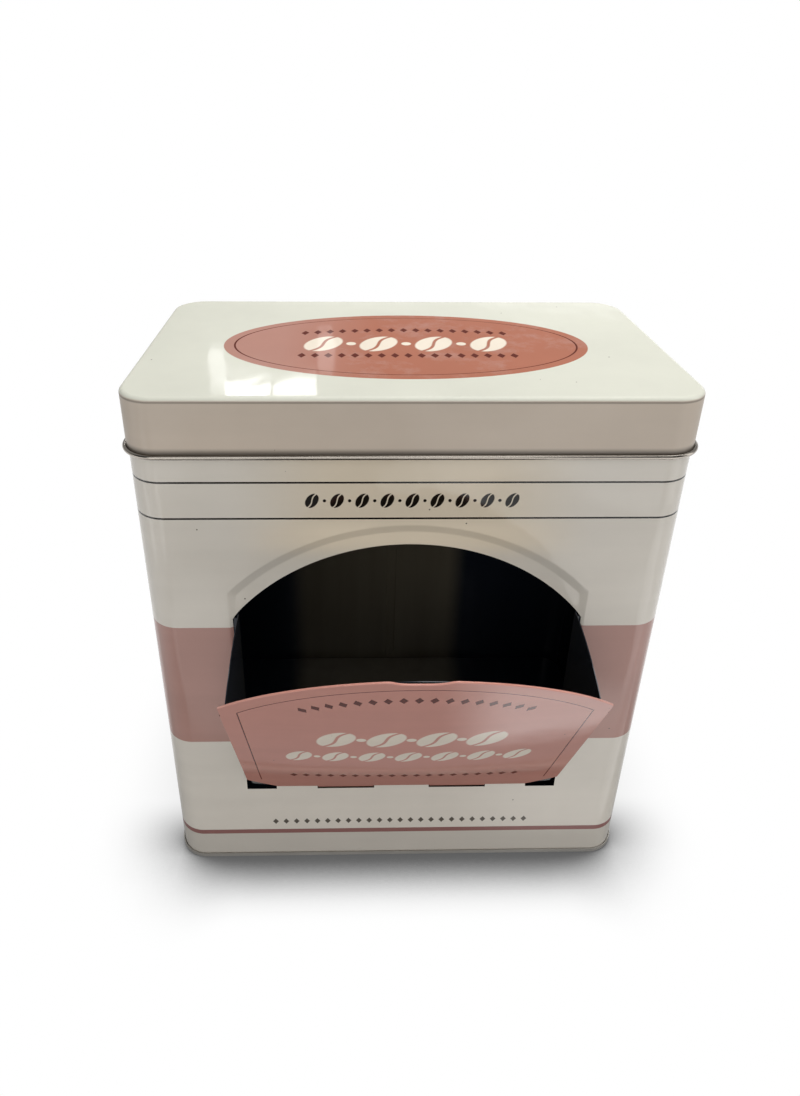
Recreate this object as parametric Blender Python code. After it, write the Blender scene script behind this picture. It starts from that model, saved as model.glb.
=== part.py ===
"""Coffee capsule tin: a rectangular tinplate box with a slip lid and a drop-down mouth door.

All lengths are in metres. X is the width, -Y the front, +Z up.
"""
import math

import bmesh
import bpy
from mathutils import Matrix, Vector

# Driving sizes
LID_WIDTH = 0.2000
LID_DEPTH = 0.1157
TOTAL_HEIGHT = 0.2260
SHEET = 0.0003
DOOR_OPEN_ANGLE = math.radians(26.4)
HINGE_HEIGHT = 0.0445

# Clearances
FIT_GAP = 0.0003
LID_GAP = 0.00035
WIRE_GAP = 0.00009

# Slip lid
LID_CORNER_RADIUS = 0.0126
LID_EDGE_RADIUS = 0.0018
LID_CURL_RADIUS = 0.00085
LID_SKIRT_HEIGHT = 0.0224
LID_CURL_TURN = math.radians(300)

# Body wall
BODY_WIDTH = LID_WIDTH - 2 * (SHEET + LID_GAP)
BODY_DEPTH = LID_DEPTH - 2 * (SHEET + LID_GAP)
BODY_CORNER_RADIUS = LID_CORNER_RADIUS - SHEET - LID_GAP
BODY_CURL_RADIUS = 0.0009
BODY_CURL_TURN = math.radians(290)
SEAM_WIDTH = 0.0050
SEAM_DEPTH = 0.0009
SEAM_END_GAP = 0.0012

# Base, with its rim folded round the wall's lower edge
RIM_HEIGHT = 0.0021
RIM_REACH = FIT_GAP + SHEET
BASE_RECESS = 0.0026
BASE_BEND_RADIUS = 0.0004
WALL_BOTTOM = SHEET + FIT_GAP

# Raised floor tray
FLOOR_HEIGHT = 0.0166
FLOOR_EDGE_RADIUS = 0.0020

# Arched mouth and the shallow recess pressed round it
MOUTH_HALF_WIDTH = 0.0665
MOUTH_ARC_RADIUS = 0.0836
MOUTH_ARC_HEIGHT = 0.0841
RECESS_TOP_HALF = 0.0676
RECESS_TOP_RADIUS = 0.0925
RECESS_FLOOR_HALF = 0.0648
RECESS_FLOOR_RADIUS = 0.0890
RECESS_DEPTH = 0.0015
RECESS_FOOT_RISE = 0.0030

# Knuckle hinge along the sill
KNUCKLE_RADIUS = 0.00115
KNUCKLE_TURN = math.radians(290)
KNUCKLE_GAP = 0.0004
SILL_GAP = 0.00025
TAB_INNER = 0.0122
TAB_OUTER = 0.0359
NOTCH_START = 0.0538
WIRE_RADIUS = KNUCKLE_RADIUS - SHEET - WIRE_GAP

# Door face, measured from the hinge axis
DOOR_TOP_HALF = 0.0658
DOOR_FOOT_HALF = 0.0654
DOOR_ARC_RADIUS = 0.0896
DOOR_ARC_HEIGHT = MOUTH_ARC_HEIGHT - HINGE_HEIGHT
DOOR_FOOT = 0.0016
DOOR_CHAMFER_START = 0.0530
DOOR_CHAMFER_RISE = 0.0110
DOOR_CROWN = 0.0022
HEM_THICKNESS = 0.0008
HEM_WIDTH = 0.0022
HEM_STEP = 0.0002
HEM_CHEEK_GAP = 0.0004
GRIP_HALF_WIDTH = 0.0105
GRIP_DEPTH = 0.0024

# Door liner: an inner panel with two cheeks that run through the mouth
CHEEK_OUTER = 0.0645
CHEEK_RADIUS = 0.0922
CHEEK_FOOT = 0.0045
LINER_MOUTH_GAP = 0.0010
LINER_FOOT = 0.0024
STOP_INNER_RADIUS = 0.0780
STOP_OUTER_RADIUS = 0.0900
STOP_OUTER = 0.0705

# Fineness of round stretches
CORNER_STEPS = 10
BEND_STEPS = 5
LID_EDGE_STEPS = 8
CURL_STEPS = 14
ARC_STEPS = 40
DOOR_ROWS = 9
DOOR_COLUMN_COUNTS = (1, 3, 5, 7, 8)
WIRE_STEPS = 20
SHADE_ANGLE = math.radians(32)
WIRE_END_ANGLE = math.radians(60)

# Places worked out from the sizes above
LID_SKIRT_BOTTOM = TOTAL_HEIGHT - LID_SKIRT_HEIGHT
LID_SEAT_ACROSS = LID_EDGE_RADIUS - SHEET - LID_GAP - BODY_CURL_RADIUS
LID_SEAT_REACH = LID_EDGE_RADIUS - SHEET - BODY_CURL_RADIUS - FIT_GAP
LID_SEAT_RISE = math.sqrt(max(LID_SEAT_REACH ** 2 - LID_SEAT_ACROSS ** 2, 0))
BODY_TOP = TOTAL_HEIGHT - LID_EDGE_RADIUS + LID_SEAT_RISE + BODY_CURL_RADIUS
FRONT = -BODY_DEPTH / 2
HINGE_Y = FRONT + KNUCKLE_RADIUS
SILL_HEIGHT = HINGE_HEIGHT - KNUCKLE_RADIUS - SILL_GAP
RECESS_FOOT = HINGE_HEIGHT + RECESS_FOOT_RISE
FACE_FRONT = KNUCKLE_RADIUS
FACE_BACK = FACE_FRONT - SHEET
LINER_FRONT = FACE_BACK - FIT_GAP
LINER_ARC_RADIUS = MOUTH_ARC_RADIUS - LINER_MOUTH_GAP
CHEEK_INNER = CHEEK_OUTER - SHEET
HEM_SIDE = CHEEK_OUTER + HEM_CHEEK_GAP

# Finishes: colour, metallic, roughness
CREAM_PRINT = ("cream_print", (0.60, 0.56, 0.49), 0.0, 0.22)
PINK_PRINT = ("pink_print", (0.40, 0.20, 0.17), 0.0, 0.25)
BLACK_LACQUER = ("black_lacquer", (0.012, 0.012, 0.013), 0.0, 0.15)
BARE_STEEL = ("bare_steel", (0.55, 0.54, 0.51), 1.0, 0.30)


def clear_scene():
    """Remove whatever the start-up scene holds."""
    for item in list(bpy.data.objects):
        bpy.data.objects.remove(item, do_unlink=True)


def make_material(finish):
    """Return the material of one finish, made the first time it is asked for."""
    name, colour, metallic, roughness = finish
    found = bpy.data.materials.get(name)
    if found:
        return found
    made = bpy.data.materials.new(name)
    made.use_nodes = True
    shader = made.node_tree.nodes["Principled BSDF"]
    shader.inputs["Base Color"].default_value = (*colour, 1.0)
    shader.inputs["Metallic"].default_value = metallic
    shader.inputs["Roughness"].default_value = roughness
    made.diffuse_color = (*colour, 1.0)
    return made


def mesh_object(name, mesh):
    """Link a mesh to the scene as an object."""
    made = bpy.data.objects.new(name, mesh)
    bpy.context.scene.collection.objects.link(made)
    return made


def from_bmesh(name, shape):
    """Turn a closed bmesh into an object whose faces look outward."""
    bmesh.ops.recalc_face_normals(shape, faces=shape.faces[:])
    mesh = bpy.data.meshes.new(name)
    shape.to_mesh(mesh)
    shape.free()
    return mesh_object(name, mesh)


def finish_piece(piece, finish, origin=(0, 0, 0)):
    """Give a piece its material, its origin and smooth round stretches."""
    mesh = piece.data
    mesh.transform(Matrix.Translation(-Vector(origin)))
    piece.location = origin
    mesh.materials.clear()
    mesh.materials.append(make_material(finish))
    for face in mesh.polygons:
        face.use_smooth = True
        face.material_index = 0
    mesh.set_sharp_from_angle(angle=SHADE_ANGLE)
    return piece


def combine(target, tool, operation):
    """Apply one exact Boolean to target and drop the tool."""
    change = target.modifiers.new(operation.lower(), "BOOLEAN")
    change.operation = operation
    change.solver = "EXACT"
    change.object = tool
    tool.hide_render = True
    tool.display_type = "WIRE"
    graph = bpy.context.evaluated_depsgraph_get()
    result = bpy.data.meshes.new_from_object(target.evaluated_get(graph))
    target.modifiers.clear()
    target.data = result
    bpy.data.objects.remove(tool, do_unlink=True)
    return target


def arc(centre, radius, start, turn, steps):
    """Points of an arc in a plane, from start through turn."""
    points = []
    for step in range(steps + 1):
        angle = start + turn * step / steps
        points.append((centre[0] + radius * math.cos(angle), centre[1] + radius * math.sin(angle)))
    return points


def corner_path(width, depth, radius):
    """Points of a rounded rectangle with the outward direction at each."""
    path = []
    centres = ((1, 1), (-1, 1), (-1, -1), (1, -1))
    for quarter, (side_x, side_y) in enumerate(centres):
        middle = Vector((side_x * (width / 2 - radius), side_y * (depth / 2 - radius)))
        for step in range(CORNER_STEPS + 1):
            angle = (quarter + step / CORNER_STEPS) * math.pi / 2
            outward = Vector((math.cos(angle), math.sin(angle)))
            path.append((middle + outward * radius, outward))
    return path


def sweep(name, profile, path, capped):
    """Carry a profile of (outset, height) points round a path.

    A capped profile is open and its first and last points bound flat panels.
    """
    shape = bmesh.new()
    rows = []
    for point, outward in path:
        row = []
        for outset, height in profile:
            place = point + outward * outset
            row.append(shape.verts.new((place.x, place.y, height)))
        rows.append(row)
    count = len(profile)
    spans = count - 1 if capped else count
    for index, row in enumerate(rows):
        following = rows[(index + 1) % len(rows)]
        for step in range(spans):
            after = (step + 1) % count
            shape.faces.new((row[step], following[step], following[after], row[after]))
    if capped:
        shape.faces.new([row[0] for row in rows])
        shape.faces.new([row[-1] for row in rows])
    return from_bmesh(name, shape)


def prism(name, outlines, place):
    """Join outlines of equal count, given as (depth, points), into one solid."""
    shape = bmesh.new()
    rings = []
    for depth, points in outlines:
        rings.append([shape.verts.new(place(first, second, depth)) for first, second in points])
    for low, high in zip(rings, rings[1:]):
        for index, vertex in enumerate(low):
            after = (index + 1) % len(low)
            shape.faces.new((vertex, low[after], high[after], high[index]))
    shape.faces.new(rings[0])
    shape.faces.new(rings[-1])
    return from_bmesh(name, shape)


def facing_front(first, second, depth):
    """Place an outline of (x, z) points at a depth along Y."""
    return (first, depth, second)


def facing_side(first, second, depth):
    """Place an outline of (y, z) points at a width along X."""
    return (depth, first, second)


def arched_outline(half_width, radius, arc_height, foot):
    """Outline with straight sides under a round arch, as (x, z) points."""
    rise = math.asin(half_width / radius)
    points = [(-half_width, foot), (half_width, foot)]
    points += arc((0, arc_height), radius, math.pi / 2 - rise, 2 * rise, ARC_STEPS)
    return points


def make_body_wall():
    """Wrap-round wall with its curled top, rear seam, arched mouth and sill knuckles."""
    middle = (-BODY_CURL_RADIUS, BODY_TOP - BODY_CURL_RADIUS)
    outer = arc(middle, BODY_CURL_RADIUS, 0, BODY_CURL_TURN, CURL_STEPS)
    inner = arc(middle, BODY_CURL_RADIUS - SHEET, BODY_CURL_TURN, -BODY_CURL_TURN, CURL_STEPS)
    profile = [(0, WALL_BOTTOM)] + outer + inner + [(-SHEET, WALL_BOTTOM)]
    path = corner_path(BODY_WIDTH, BODY_DEPTH, BODY_CORNER_RADIUS)
    wall = sweep("body_wall", profile, path, capped=False)

    top = arched_outline(RECESS_TOP_HALF, RECESS_TOP_RADIUS, MOUTH_ARC_HEIGHT, RECESS_FOOT)
    floor = arched_outline(RECESS_FLOOR_HALF, RECESS_FLOOR_RADIUS, MOUTH_ARC_HEIGHT, RECESS_FOOT)
    wall_inside = FRONT + SHEET
    boss = prism("boss", ((FRONT + SHEET / 2, top), (wall_inside, top),
                          (wall_inside + RECESS_DEPTH, floor)), facing_front)
    combine(wall, boss, "UNION")
    recess = prism("recess", ((FRONT - RECESS_DEPTH, top), (FRONT, top),
                              (FRONT + RECESS_DEPTH, floor)), facing_front)
    combine(wall, recess, "DIFFERENCE")

    mouth = prism("mouth", ((FRONT - RECESS_DEPTH, mouth_outline()),
                            (FRONT + 3 * RECESS_DEPTH, mouth_outline())), facing_front)
    combine(wall, mouth, "DIFFERENCE")
    for low, high in knuckle_spans():
        combine(wall, make_knuckle(low, high), "UNION")
    combine(wall, make_seam(), "UNION")
    return finish_piece(wall, CREAM_PRINT)


def knuckle_spans():
    """Stretches of the sill, along X, where the wall itself curls round the wire."""
    inner = TAB_INNER - KNUCKLE_GAP
    outer = TAB_OUTER + KNUCKLE_GAP
    return ((-NOTCH_START, -outer), (-inner, inner), (outer, NOTCH_START))


def mouth_outline():
    """Outline of the mouth: an arch above, and tongues of sheet along the sill."""
    points = [(-MOUTH_HALF_WIDTH, SILL_HEIGHT)]
    for low, high in knuckle_spans():
        points += [(low, SILL_HEIGHT), (low, HINGE_HEIGHT), (high, HINGE_HEIGHT), (high, SILL_HEIGHT)]
    arch = arched_outline(MOUTH_HALF_WIDTH, MOUTH_ARC_RADIUS, MOUTH_ARC_HEIGHT, SILL_HEIGHT)
    return points + arch[1:]


def make_knuckle(low, high):
    """One curl of the sill round the hinge axis, from low to high along X."""
    centre = (HINGE_Y, HINGE_HEIGHT)
    outer = arc(centre, KNUCKLE_RADIUS, math.pi, -KNUCKLE_TURN, CURL_STEPS)
    inner = arc(centre, KNUCKLE_RADIUS - SHEET, math.pi - KNUCKLE_TURN, KNUCKLE_TURN, CURL_STEPS)
    outline = outer + inner
    return prism("knuckle", ((low, outline), (high, outline)), facing_side)


def make_seam():
    """Flat lock seam standing inside the rear wall."""
    back = -FRONT - SHEET / 2
    front = -FRONT - SHEET - SEAM_DEPTH
    low = BASE_RECESS + SHEET + FIT_GAP
    high = BODY_TOP - 2 * BODY_CURL_RADIUS - SEAM_END_GAP
    side = SEAM_WIDTH / 2
    points = [(back, low), (front, low), (front, high), (back, high)]
    return prism("seam", ((-side, points), (side, points)), facing_side)


def make_base_panel():
    """Base panel whose edge folds under and round the wall's lower edge."""
    inside = -SHEET - FIT_GAP
    bend = BASE_BEND_RADIUS
    outer_leg = RIM_REACH - SHEET
    profile = [(inside - SHEET, BASE_RECESS)]
    profile += arc((inside - SHEET + bend, bend), bend, math.pi, math.pi / 2, BEND_STEPS)
    profile += arc((RIM_REACH - bend, bend), bend, -math.pi / 2, math.pi / 2, BEND_STEPS)
    profile += [(RIM_REACH, RIM_HEIGHT), (outer_leg, RIM_HEIGHT), (outer_leg, SHEET), (inside, SHEET)]
    profile += [(inside, BASE_RECESS + SHEET)]
    path = corner_path(BODY_WIDTH, BODY_DEPTH, BODY_CORNER_RADIUS)
    return finish_piece(sweep("base_panel", profile, path, capped=True), BARE_STEEL)


def make_floor_tray():
    """Shallow upturned tray that stands on the base and carries the capsules."""
    outset = -SHEET - SEAM_DEPTH - FIT_GAP
    bend = FLOOR_EDGE_RADIUS
    foot = BASE_RECESS + SHEET + FIT_GAP
    centre = (outset - bend, FLOOR_HEIGHT - bend)
    profile = arc(centre, bend, math.pi / 2, -math.pi / 2, BEND_STEPS)
    profile += [(outset, foot), (outset - SHEET, foot)]
    profile += arc(centre, bend - SHEET, 0, math.pi / 2, BEND_STEPS)
    path = corner_path(BODY_WIDTH, BODY_DEPTH, BODY_CORNER_RADIUS)
    return finish_piece(sweep("floor_tray", profile, path, capped=True), BLACK_LACQUER)


def make_lid():
    """Slip lid: flat top, rounded edge, straight skirt and an outward curl."""
    edge = LID_EDGE_RADIUS
    curl = LID_CURL_RADIUS
    centre = (-edge, TOTAL_HEIGHT - edge)
    wire = (curl - SHEET, LID_SKIRT_BOTTOM + curl)
    profile = arc(centre, edge, math.pi / 2, -math.pi / 2, LID_EDGE_STEPS)
    profile += arc(wire, curl - SHEET, math.pi, LID_CURL_TURN, CURL_STEPS)
    profile += arc(wire, curl, math.pi + LID_CURL_TURN, -LID_CURL_TURN, CURL_STEPS)
    profile += arc(centre, edge - SHEET, 0, math.pi / 2, LID_EDGE_STEPS)
    path = corner_path(LID_WIDTH, LID_DEPTH, LID_CORNER_RADIUS)
    lid = sweep("lid", profile, path, capped=True)
    return finish_piece(lid, CREAM_PRINT, (0, 0, TOTAL_HEIGHT))


def door_top(across):
    """Height of the door's arched edge, with the shallow finger grip in its middle."""
    height = DOOR_ARC_HEIGHT + math.sqrt(DOOR_ARC_RADIUS ** 2 - across ** 2)
    share = min(abs(across) / GRIP_HALF_WIDTH, 1.0)
    return height - GRIP_DEPTH * (1 - share ** 4) ** 2


def door_bottom(across):
    """Height of the door's lower edge, which rises towards both corners."""
    share = max(abs(across) - DOOR_CHAMFER_START, 0) / (DOOR_FOOT_HALF - DOOR_CHAMFER_START)
    return DOOR_FOOT + DOOR_CHAMFER_RISE * share


def door_crown(across, height):
    """How far the sheet bulges outward, from nothing at the hinge and the sides."""
    share = max(1 - (across / DOOR_FOOT_HALF) ** 2, 0)
    rise = min(height / DOOR_ARC_HEIGHT, 1.0)
    return DOOR_CROWN * share * math.sin(rise * math.pi / 2)


def door_columns():
    """Columns of the door face, as the (foot, top) place of each along X."""
    marks = [HEM_SIDE, HEM_SIDE - HEM_STEP, DOOR_CHAMFER_START, TAB_OUTER, TAB_INNER]
    half = [(DOOR_FOOT_HALF, DOOR_TOP_HALF)]
    stops = marks + [0]
    for start, end, count in zip(stops, stops[1:], DOOR_COLUMN_COUNTS):
        for step in range(count):
            place = start + (end - start) * step / count
            half.append((place, place))
    left = [(-foot, -top) for foot, top in half]
    right = [(foot, top) for foot, top in reversed(half)]
    return left + [(0, 0)] + right


def door_rows(foot, top):
    """One column of the door face from its curled end up, as (front, back) points."""
    rows = []
    inner = KNUCKLE_RADIUS - SHEET
    for step in range(CURL_STEPS, 0, -1):
        angle = KNUCKLE_TURN * step / CURL_STEPS
        turn = (math.cos(angle), -math.sin(angle))
        front = Vector((foot, -KNUCKLE_RADIUS * turn[0], KNUCKLE_RADIUS * turn[1]))
        back = Vector((foot, -inner * turn[0], inner * turn[1]))
        rows.append((front, back))
    rows.append((Vector((foot, -FACE_FRONT, 0)), Vector((foot, -FACE_BACK, 0))))
    low = door_bottom(foot)
    high = door_top(top)
    heights = [low + (high - HEM_WIDTH - HEM_STEP - low) * step / DOOR_ROWS for step in range(DOOR_ROWS + 1)]
    heights += [high - HEM_WIDTH, high]
    for index, height in enumerate(heights):
        across = foot + (top - foot) * (height - low) / (high - low)
        hemmed = index > DOOR_ROWS or abs(foot) >= HEM_SIDE
        outward = FACE_FRONT + door_crown(across, height)
        thickness = HEM_THICKNESS if hemmed else SHEET
        rows.append((Vector((across, -outward, height)), Vector((across, thickness - outward, height))))
    return rows


def make_door_face():
    """Printed door sheet: hemmed arch and sides, crowned face, two curled hinge tabs."""
    shape = bmesh.new()
    columns = door_columns()
    fronts = []
    backs = []
    for foot, top in columns:
        rows = door_rows(foot, top)
        fronts.append([shape.verts.new(front) for front, back in rows])
        backs.append([shape.verts.new(back) for front, back in rows])
    row_count = len(fronts[0])
    cells = set()
    for column in range(len(columns) - 1):
        middle = abs(columns[column][0] + columns[column + 1][0]) / 2
        first = 0 if TAB_INNER < middle < TAB_OUTER else CURL_STEPS + 1
        cells.update((column, row) for row in range(first, row_count - 1))
    for column, row in cells:
        corners = ((column, row), (column + 1, row), (column + 1, row + 1), (column, row + 1))
        shape.faces.new([fronts[i][j] for i, j in corners])
        shape.faces.new([backs[i][j] for i, j in reversed(corners)])
        beside = ((column, row - 1), (column + 1, row), (column, row + 1), (column - 1, row))
        for index, neighbour in enumerate(beside):
            if neighbour in cells:
                continue
            first, second = corners[index], corners[(index + 1) % 4]
            shape.faces.new((fronts[first[0]][first[1]], backs[first[0]][first[1]],
                             backs[second[0]][second[1]], fronts[second[0]][second[1]]))
    loose = [vertex for vertex in shape.verts if not vertex.link_faces]
    bmesh.ops.delete(shape, geom=loose, context="VERTS")
    return place_on_hinge(from_bmesh("door_face", shape), PINK_PRINT)


def make_door_liner():
    """Inner door panel with two fan-shaped cheeks and the lugs that stop the door."""
    panel = arched_outline(CHEEK_OUTER, LINER_ARC_RADIUS, DOOR_ARC_HEIGHT, LINER_FOOT)
    liner = prism("door_liner", ((-LINER_FRONT, panel), (SHEET - LINER_FRONT, panel)), facing_front)
    for side in (-1, 1):
        combine(liner, make_cheek(side), "UNION")
        combine(liner, make_stop_lug(side), "UNION")
    return place_on_hinge(liner, BLACK_LACQUER)


def stop_angle():
    """Angle from the door's plane back to the stop lugs' front."""
    return DOOR_OPEN_ANGLE + math.asin(FIT_GAP / STOP_INNER_RADIUS)


def behind(radius, back, angle):
    """Point of the cheek's plane at a radius along an angle, moved back across it."""
    return (radius * math.sin(angle) + back * math.cos(angle),
            radius * math.cos(angle) - back * math.sin(angle))


def make_cheek(side):
    """One fan-shaped side of the door, centred on the hinge axis."""
    front = SHEET / 2 - LINER_FRONT
    start = math.asin(front / CHEEK_RADIUS)
    end = stop_angle() + SHEET / STOP_OUTER_RADIUS
    points = [(front, CHEEK_FOOT)]
    for step in range(CURL_STEPS + 1):
        points.append(behind(CHEEK_RADIUS, 0, start + (end - start) * step / CURL_STEPS))
    points.append(behind(2 * CHEEK_FOOT, 0, end))
    return prism("cheek", ((side * CHEEK_INNER, points), (side * CHEEK_OUTER, points)), facing_side)


def make_stop_lug(side):
    """Lug bent outward from a cheek, which meets the wall from behind."""
    angle = stop_angle()
    points = [behind(STOP_INNER_RADIUS, 0, angle), behind(STOP_OUTER_RADIUS, 0, angle),
              behind(STOP_OUTER_RADIUS, SHEET, angle), behind(STOP_INNER_RADIUS, SHEET, angle)]
    return prism("stop_lug", ((side * CHEEK_INNER, points), (side * STOP_OUTER, points)), facing_side)


def place_on_hinge(piece, finish):
    """Turn a door piece to its open pose, with its origin on the hinge axis."""
    piece.data.transform(Matrix.Rotation(DOOR_OPEN_ANGLE, 4, "X"))
    finish_piece(piece, finish)
    piece.location = (0, HINGE_Y, HINGE_HEIGHT)
    return piece


def make_hinge_wire():
    """Straight wire through all the knuckles, with its ends rounded."""
    outline = arc((0, 0), WIRE_RADIUS, 0, 2 * math.pi, WIRE_STEPS)[:-1]
    wire = prism("hinge_wire", ((-NOTCH_START, outline), (NOTCH_START, outline)), facing_side)
    ends = wire.modifiers.new("rounded_ends", "BEVEL")
    ends.width = WIRE_RADIUS / 2
    ends.segments = 3
    ends.limit_method = "ANGLE"
    ends.angle_limit = WIRE_END_ANGLE
    finish_piece(wire, BARE_STEEL)
    wire.location = (0, HINGE_Y, HINGE_HEIGHT)
    return wire


def centre_on_origin(pieces):
    """Slide the whole tin along Y so that the origin is under the middle of its box."""
    bpy.context.view_layer.update()
    reach = []
    for piece in pieces:
        reach += [(piece.matrix_world @ vertex.co).y for vertex in piece.data.vertices]
    shift = -(min(reach) + max(reach)) / 2
    for piece in pieces:
        piece.location.y += shift


def main():
    """Build every piece of the tin."""
    clear_scene()
    pieces = [make_body_wall(), make_base_panel(), make_floor_tray(), make_lid(),
              make_door_face(), make_door_liner(), make_hinge_wire()]
    centre_on_origin(pieces)


main()
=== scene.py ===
"""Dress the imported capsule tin: sheet metal, print, lacquer and a small studio.

Lengths are in metres. X is the width, -Y the front and +Z up. The door stands open at rest.
"""
import math

import bmesh
import bpy
from mathutils import Matrix, Vector


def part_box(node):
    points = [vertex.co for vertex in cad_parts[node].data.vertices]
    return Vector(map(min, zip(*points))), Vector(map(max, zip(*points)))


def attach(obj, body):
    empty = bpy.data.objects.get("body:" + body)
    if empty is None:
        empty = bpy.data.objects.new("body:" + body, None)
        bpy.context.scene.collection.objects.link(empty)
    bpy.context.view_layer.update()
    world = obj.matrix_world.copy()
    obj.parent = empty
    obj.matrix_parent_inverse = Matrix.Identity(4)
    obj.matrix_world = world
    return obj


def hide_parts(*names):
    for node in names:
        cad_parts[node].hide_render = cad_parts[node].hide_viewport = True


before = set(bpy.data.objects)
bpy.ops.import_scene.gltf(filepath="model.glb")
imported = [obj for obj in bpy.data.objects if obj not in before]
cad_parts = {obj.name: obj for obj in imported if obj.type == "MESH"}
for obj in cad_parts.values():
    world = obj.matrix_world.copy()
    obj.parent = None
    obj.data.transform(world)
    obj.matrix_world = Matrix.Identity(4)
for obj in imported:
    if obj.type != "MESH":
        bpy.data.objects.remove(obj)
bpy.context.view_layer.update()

bl_info = {
    "name": "Capsule Tin",
    "version": (1, 0, 0),
    "blender": (4, 5, 0),
    "location": "View3D > Sidebar > Capsule Tin",
    "description": "Builds the sheet metal, print and studio of a coffee capsule tin",
    "category": "Object",
}

# Sheet and clearances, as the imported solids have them
SHEET = 0.0003
FIT_GAP = 0.0003
LID_GAP = 0.00035

# Lid
LID_CORNER = 0.0126
LID_EDGE = 0.0018
LID_CURL = 0.00085
LID_CURL_TURN = math.radians(300)
LID_LOW, LID_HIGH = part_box("lid")
LID_REACH = 2 * LID_CURL - SHEET
LID_WIDTH = LID_HIGH.x - LID_LOW.x - 2 * LID_REACH
LID_DEPTH = LID_HIGH.y - LID_LOW.y - 2 * LID_REACH
CENTRE_Y = (LID_LOW.y + LID_HIGH.y) / 2

# Wall
WALL_LOW, WALL_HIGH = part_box("body_wall")
WALL_WIDTH = LID_WIDTH - 2 * (SHEET + LID_GAP)
WALL_DEPTH = LID_DEPTH - 2 * (SHEET + LID_GAP)
WALL_CORNER = LID_CORNER - SHEET - LID_GAP
WALL_CURL = 0.0009
WALL_CURL_TURN = math.radians(290)
WALL_TOP = WALL_HIGH.z - WALL_CURL
WALL_FOOT = WALL_LOW.z
FRONT = CENTRE_Y - WALL_DEPTH / 2
REAR = CENTRE_Y + WALL_DEPTH / 2
SEAM_WIDTH = 0.0050
SEAM_DEPTH = 0.0009
SEAM_RISE = 0.0004
SEAM_GROOVE = 0.00018
SEAM_GROOVE_HALF = 0.00016
SEAM_EASE = 0.002
SEAM_TOP_GAP = 0.0012

# Mouth and the recess pressed round it
MOUTH_HALF = 0.0665
MOUTH_RADIUS = 0.0836
ARC_HEIGHT = 0.0841
RECESS_HALF = 0.0676
RECESS_RADIUS = 0.0925
RECESS_RUN = 0.0035
RECESS_SIDE_RUN = 0.0028
RECESS_DEPTH = 0.0015
RECESS_FOOT = 0.0475
RECESS_FADE = 0.0030
SHOULDER = 0.12
SILL_DROP = 0.0020

# Hinge
HINGE = (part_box("hinge_wire")[0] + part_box("hinge_wire")[1]) / 2
KNUCKLE = 0.00115
KNUCKLE_TURN = math.radians(290)
KNUCKLE_GAP = 0.0004
SILL = HINGE.z - KNUCKLE - 0.00025
TAB_INNER = 0.0122
TAB_OUTER = 0.0359
NOTCH_START = 0.0538
WIRE_RADIUS = KNUCKLE - SHEET - 0.00009
WIRE_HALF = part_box("hinge_wire")[1].x
OPEN_ANGLE = math.radians(26.4)

# Door, measured from the hinge axis
DOOR_TOP_HALF = 0.0658
DOOR_FOOT_HALF = 0.0654
DOOR_RADIUS = 0.0896
DOOR_ARC = ARC_HEIGHT - HINGE.z
DOOR_FOOT = 0.0016
DOOR_CHAMFER_START = 0.0530
DOOR_CHAMFER_RISE = 0.0110
DOOR_CROWN = 0.0022
HEM_ROUND = 0.0004
HEM_FLANGE = 0.0014
HEM_SIDE_FLANGE = 0.0002
HEM_START = 0.0042
GRIP_HALF = 0.0105
GRIP_DEPTH = 0.0024
LINER_Y = SHEET + FIT_GAP - KNUCKLE
CHEEK_OUTER = 0.0645
CHEEK_RADIUS = 0.0922
CHEEK_FOOT = 0.0045
CHEEK_BEND = 0.0009
LINER_RADIUS = MOUTH_RADIUS - 0.0010
LINER_FOOT = 0.0024
STOP_INNER_RADIUS = 0.0780
STOP_OUTER_RADIUS = 0.0900
STOP_OUTER = 0.0705

# Base and floor
RIM_HEIGHT = 0.0021
RIM_REACH = FIT_GAP + SHEET
RIM_BEND = 0.0004
BASE_RECESS = 0.0026
BASE_BEND = 0.0006
FLOOR_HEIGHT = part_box("floor_tray")[1].z
FLOOR_BEND = 0.0020

# Print: softness of its edges, and the shape of a bean as shares of its length
PRINT_EDGE = 0.00012
BEAN_SLANT = math.radians(58)
BEAN_HALF_SHARE = 0.34
SLIT_WAVES = 1.8
SLIT_SWING_SHARE = 0.07
SLIT_HALF_SHARE = 0.035
DOT_SHARE = 0.1

# Rows of beans: height of the middle, count, pitch and length of a bean. The wall's lies between its lines.
WALL_BEANS = (9, 0.0088, 0.0062)
OVAL_BEANS = (0.0, 4, 0.0215, 0.0190)
DOOR_HIGH_BEANS = (0.0725, 4, 0.0180, 0.0180)
DOOR_LOW_BEANS = (0.0515, 7, 0.0138, 0.0128)

# Rows of lozenges: height of the middle, count, pitch, and half the width and height of a lozenge
WALL_LOZENGES = (0.0224, 25, 0.0046, 0.0013, 0.0017)
OVAL_LOW_LOZENGES = (-0.0135, 17, 0.0050, 0.0016, 0.0026)
OVAL_HIGH_LOZENGES = (0.0172, 17, 0.0050, 0.0016, 0.0026)
DOOR_LOW_LOZENGES = (0.0235, 19, 0.0050, 0.0016, 0.0024)
DOOR_HIGH_LOZENGES = (0.0740, 17, 0.0048, 0.0015, 0.0027)
DOOR_ROW_RADIUS = 0.0725

# Oval on the lid
OVAL_FORWARD = 0.003
OVAL_ARCH_BEND = 0.0035 / 0.038 ** 2
RING_INSET = 0.0042

# Depths of the varnish's dents and orange peel
DENT_DEPTH = 0.0002
PEEL_DEPTH = 0.0000012

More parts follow.
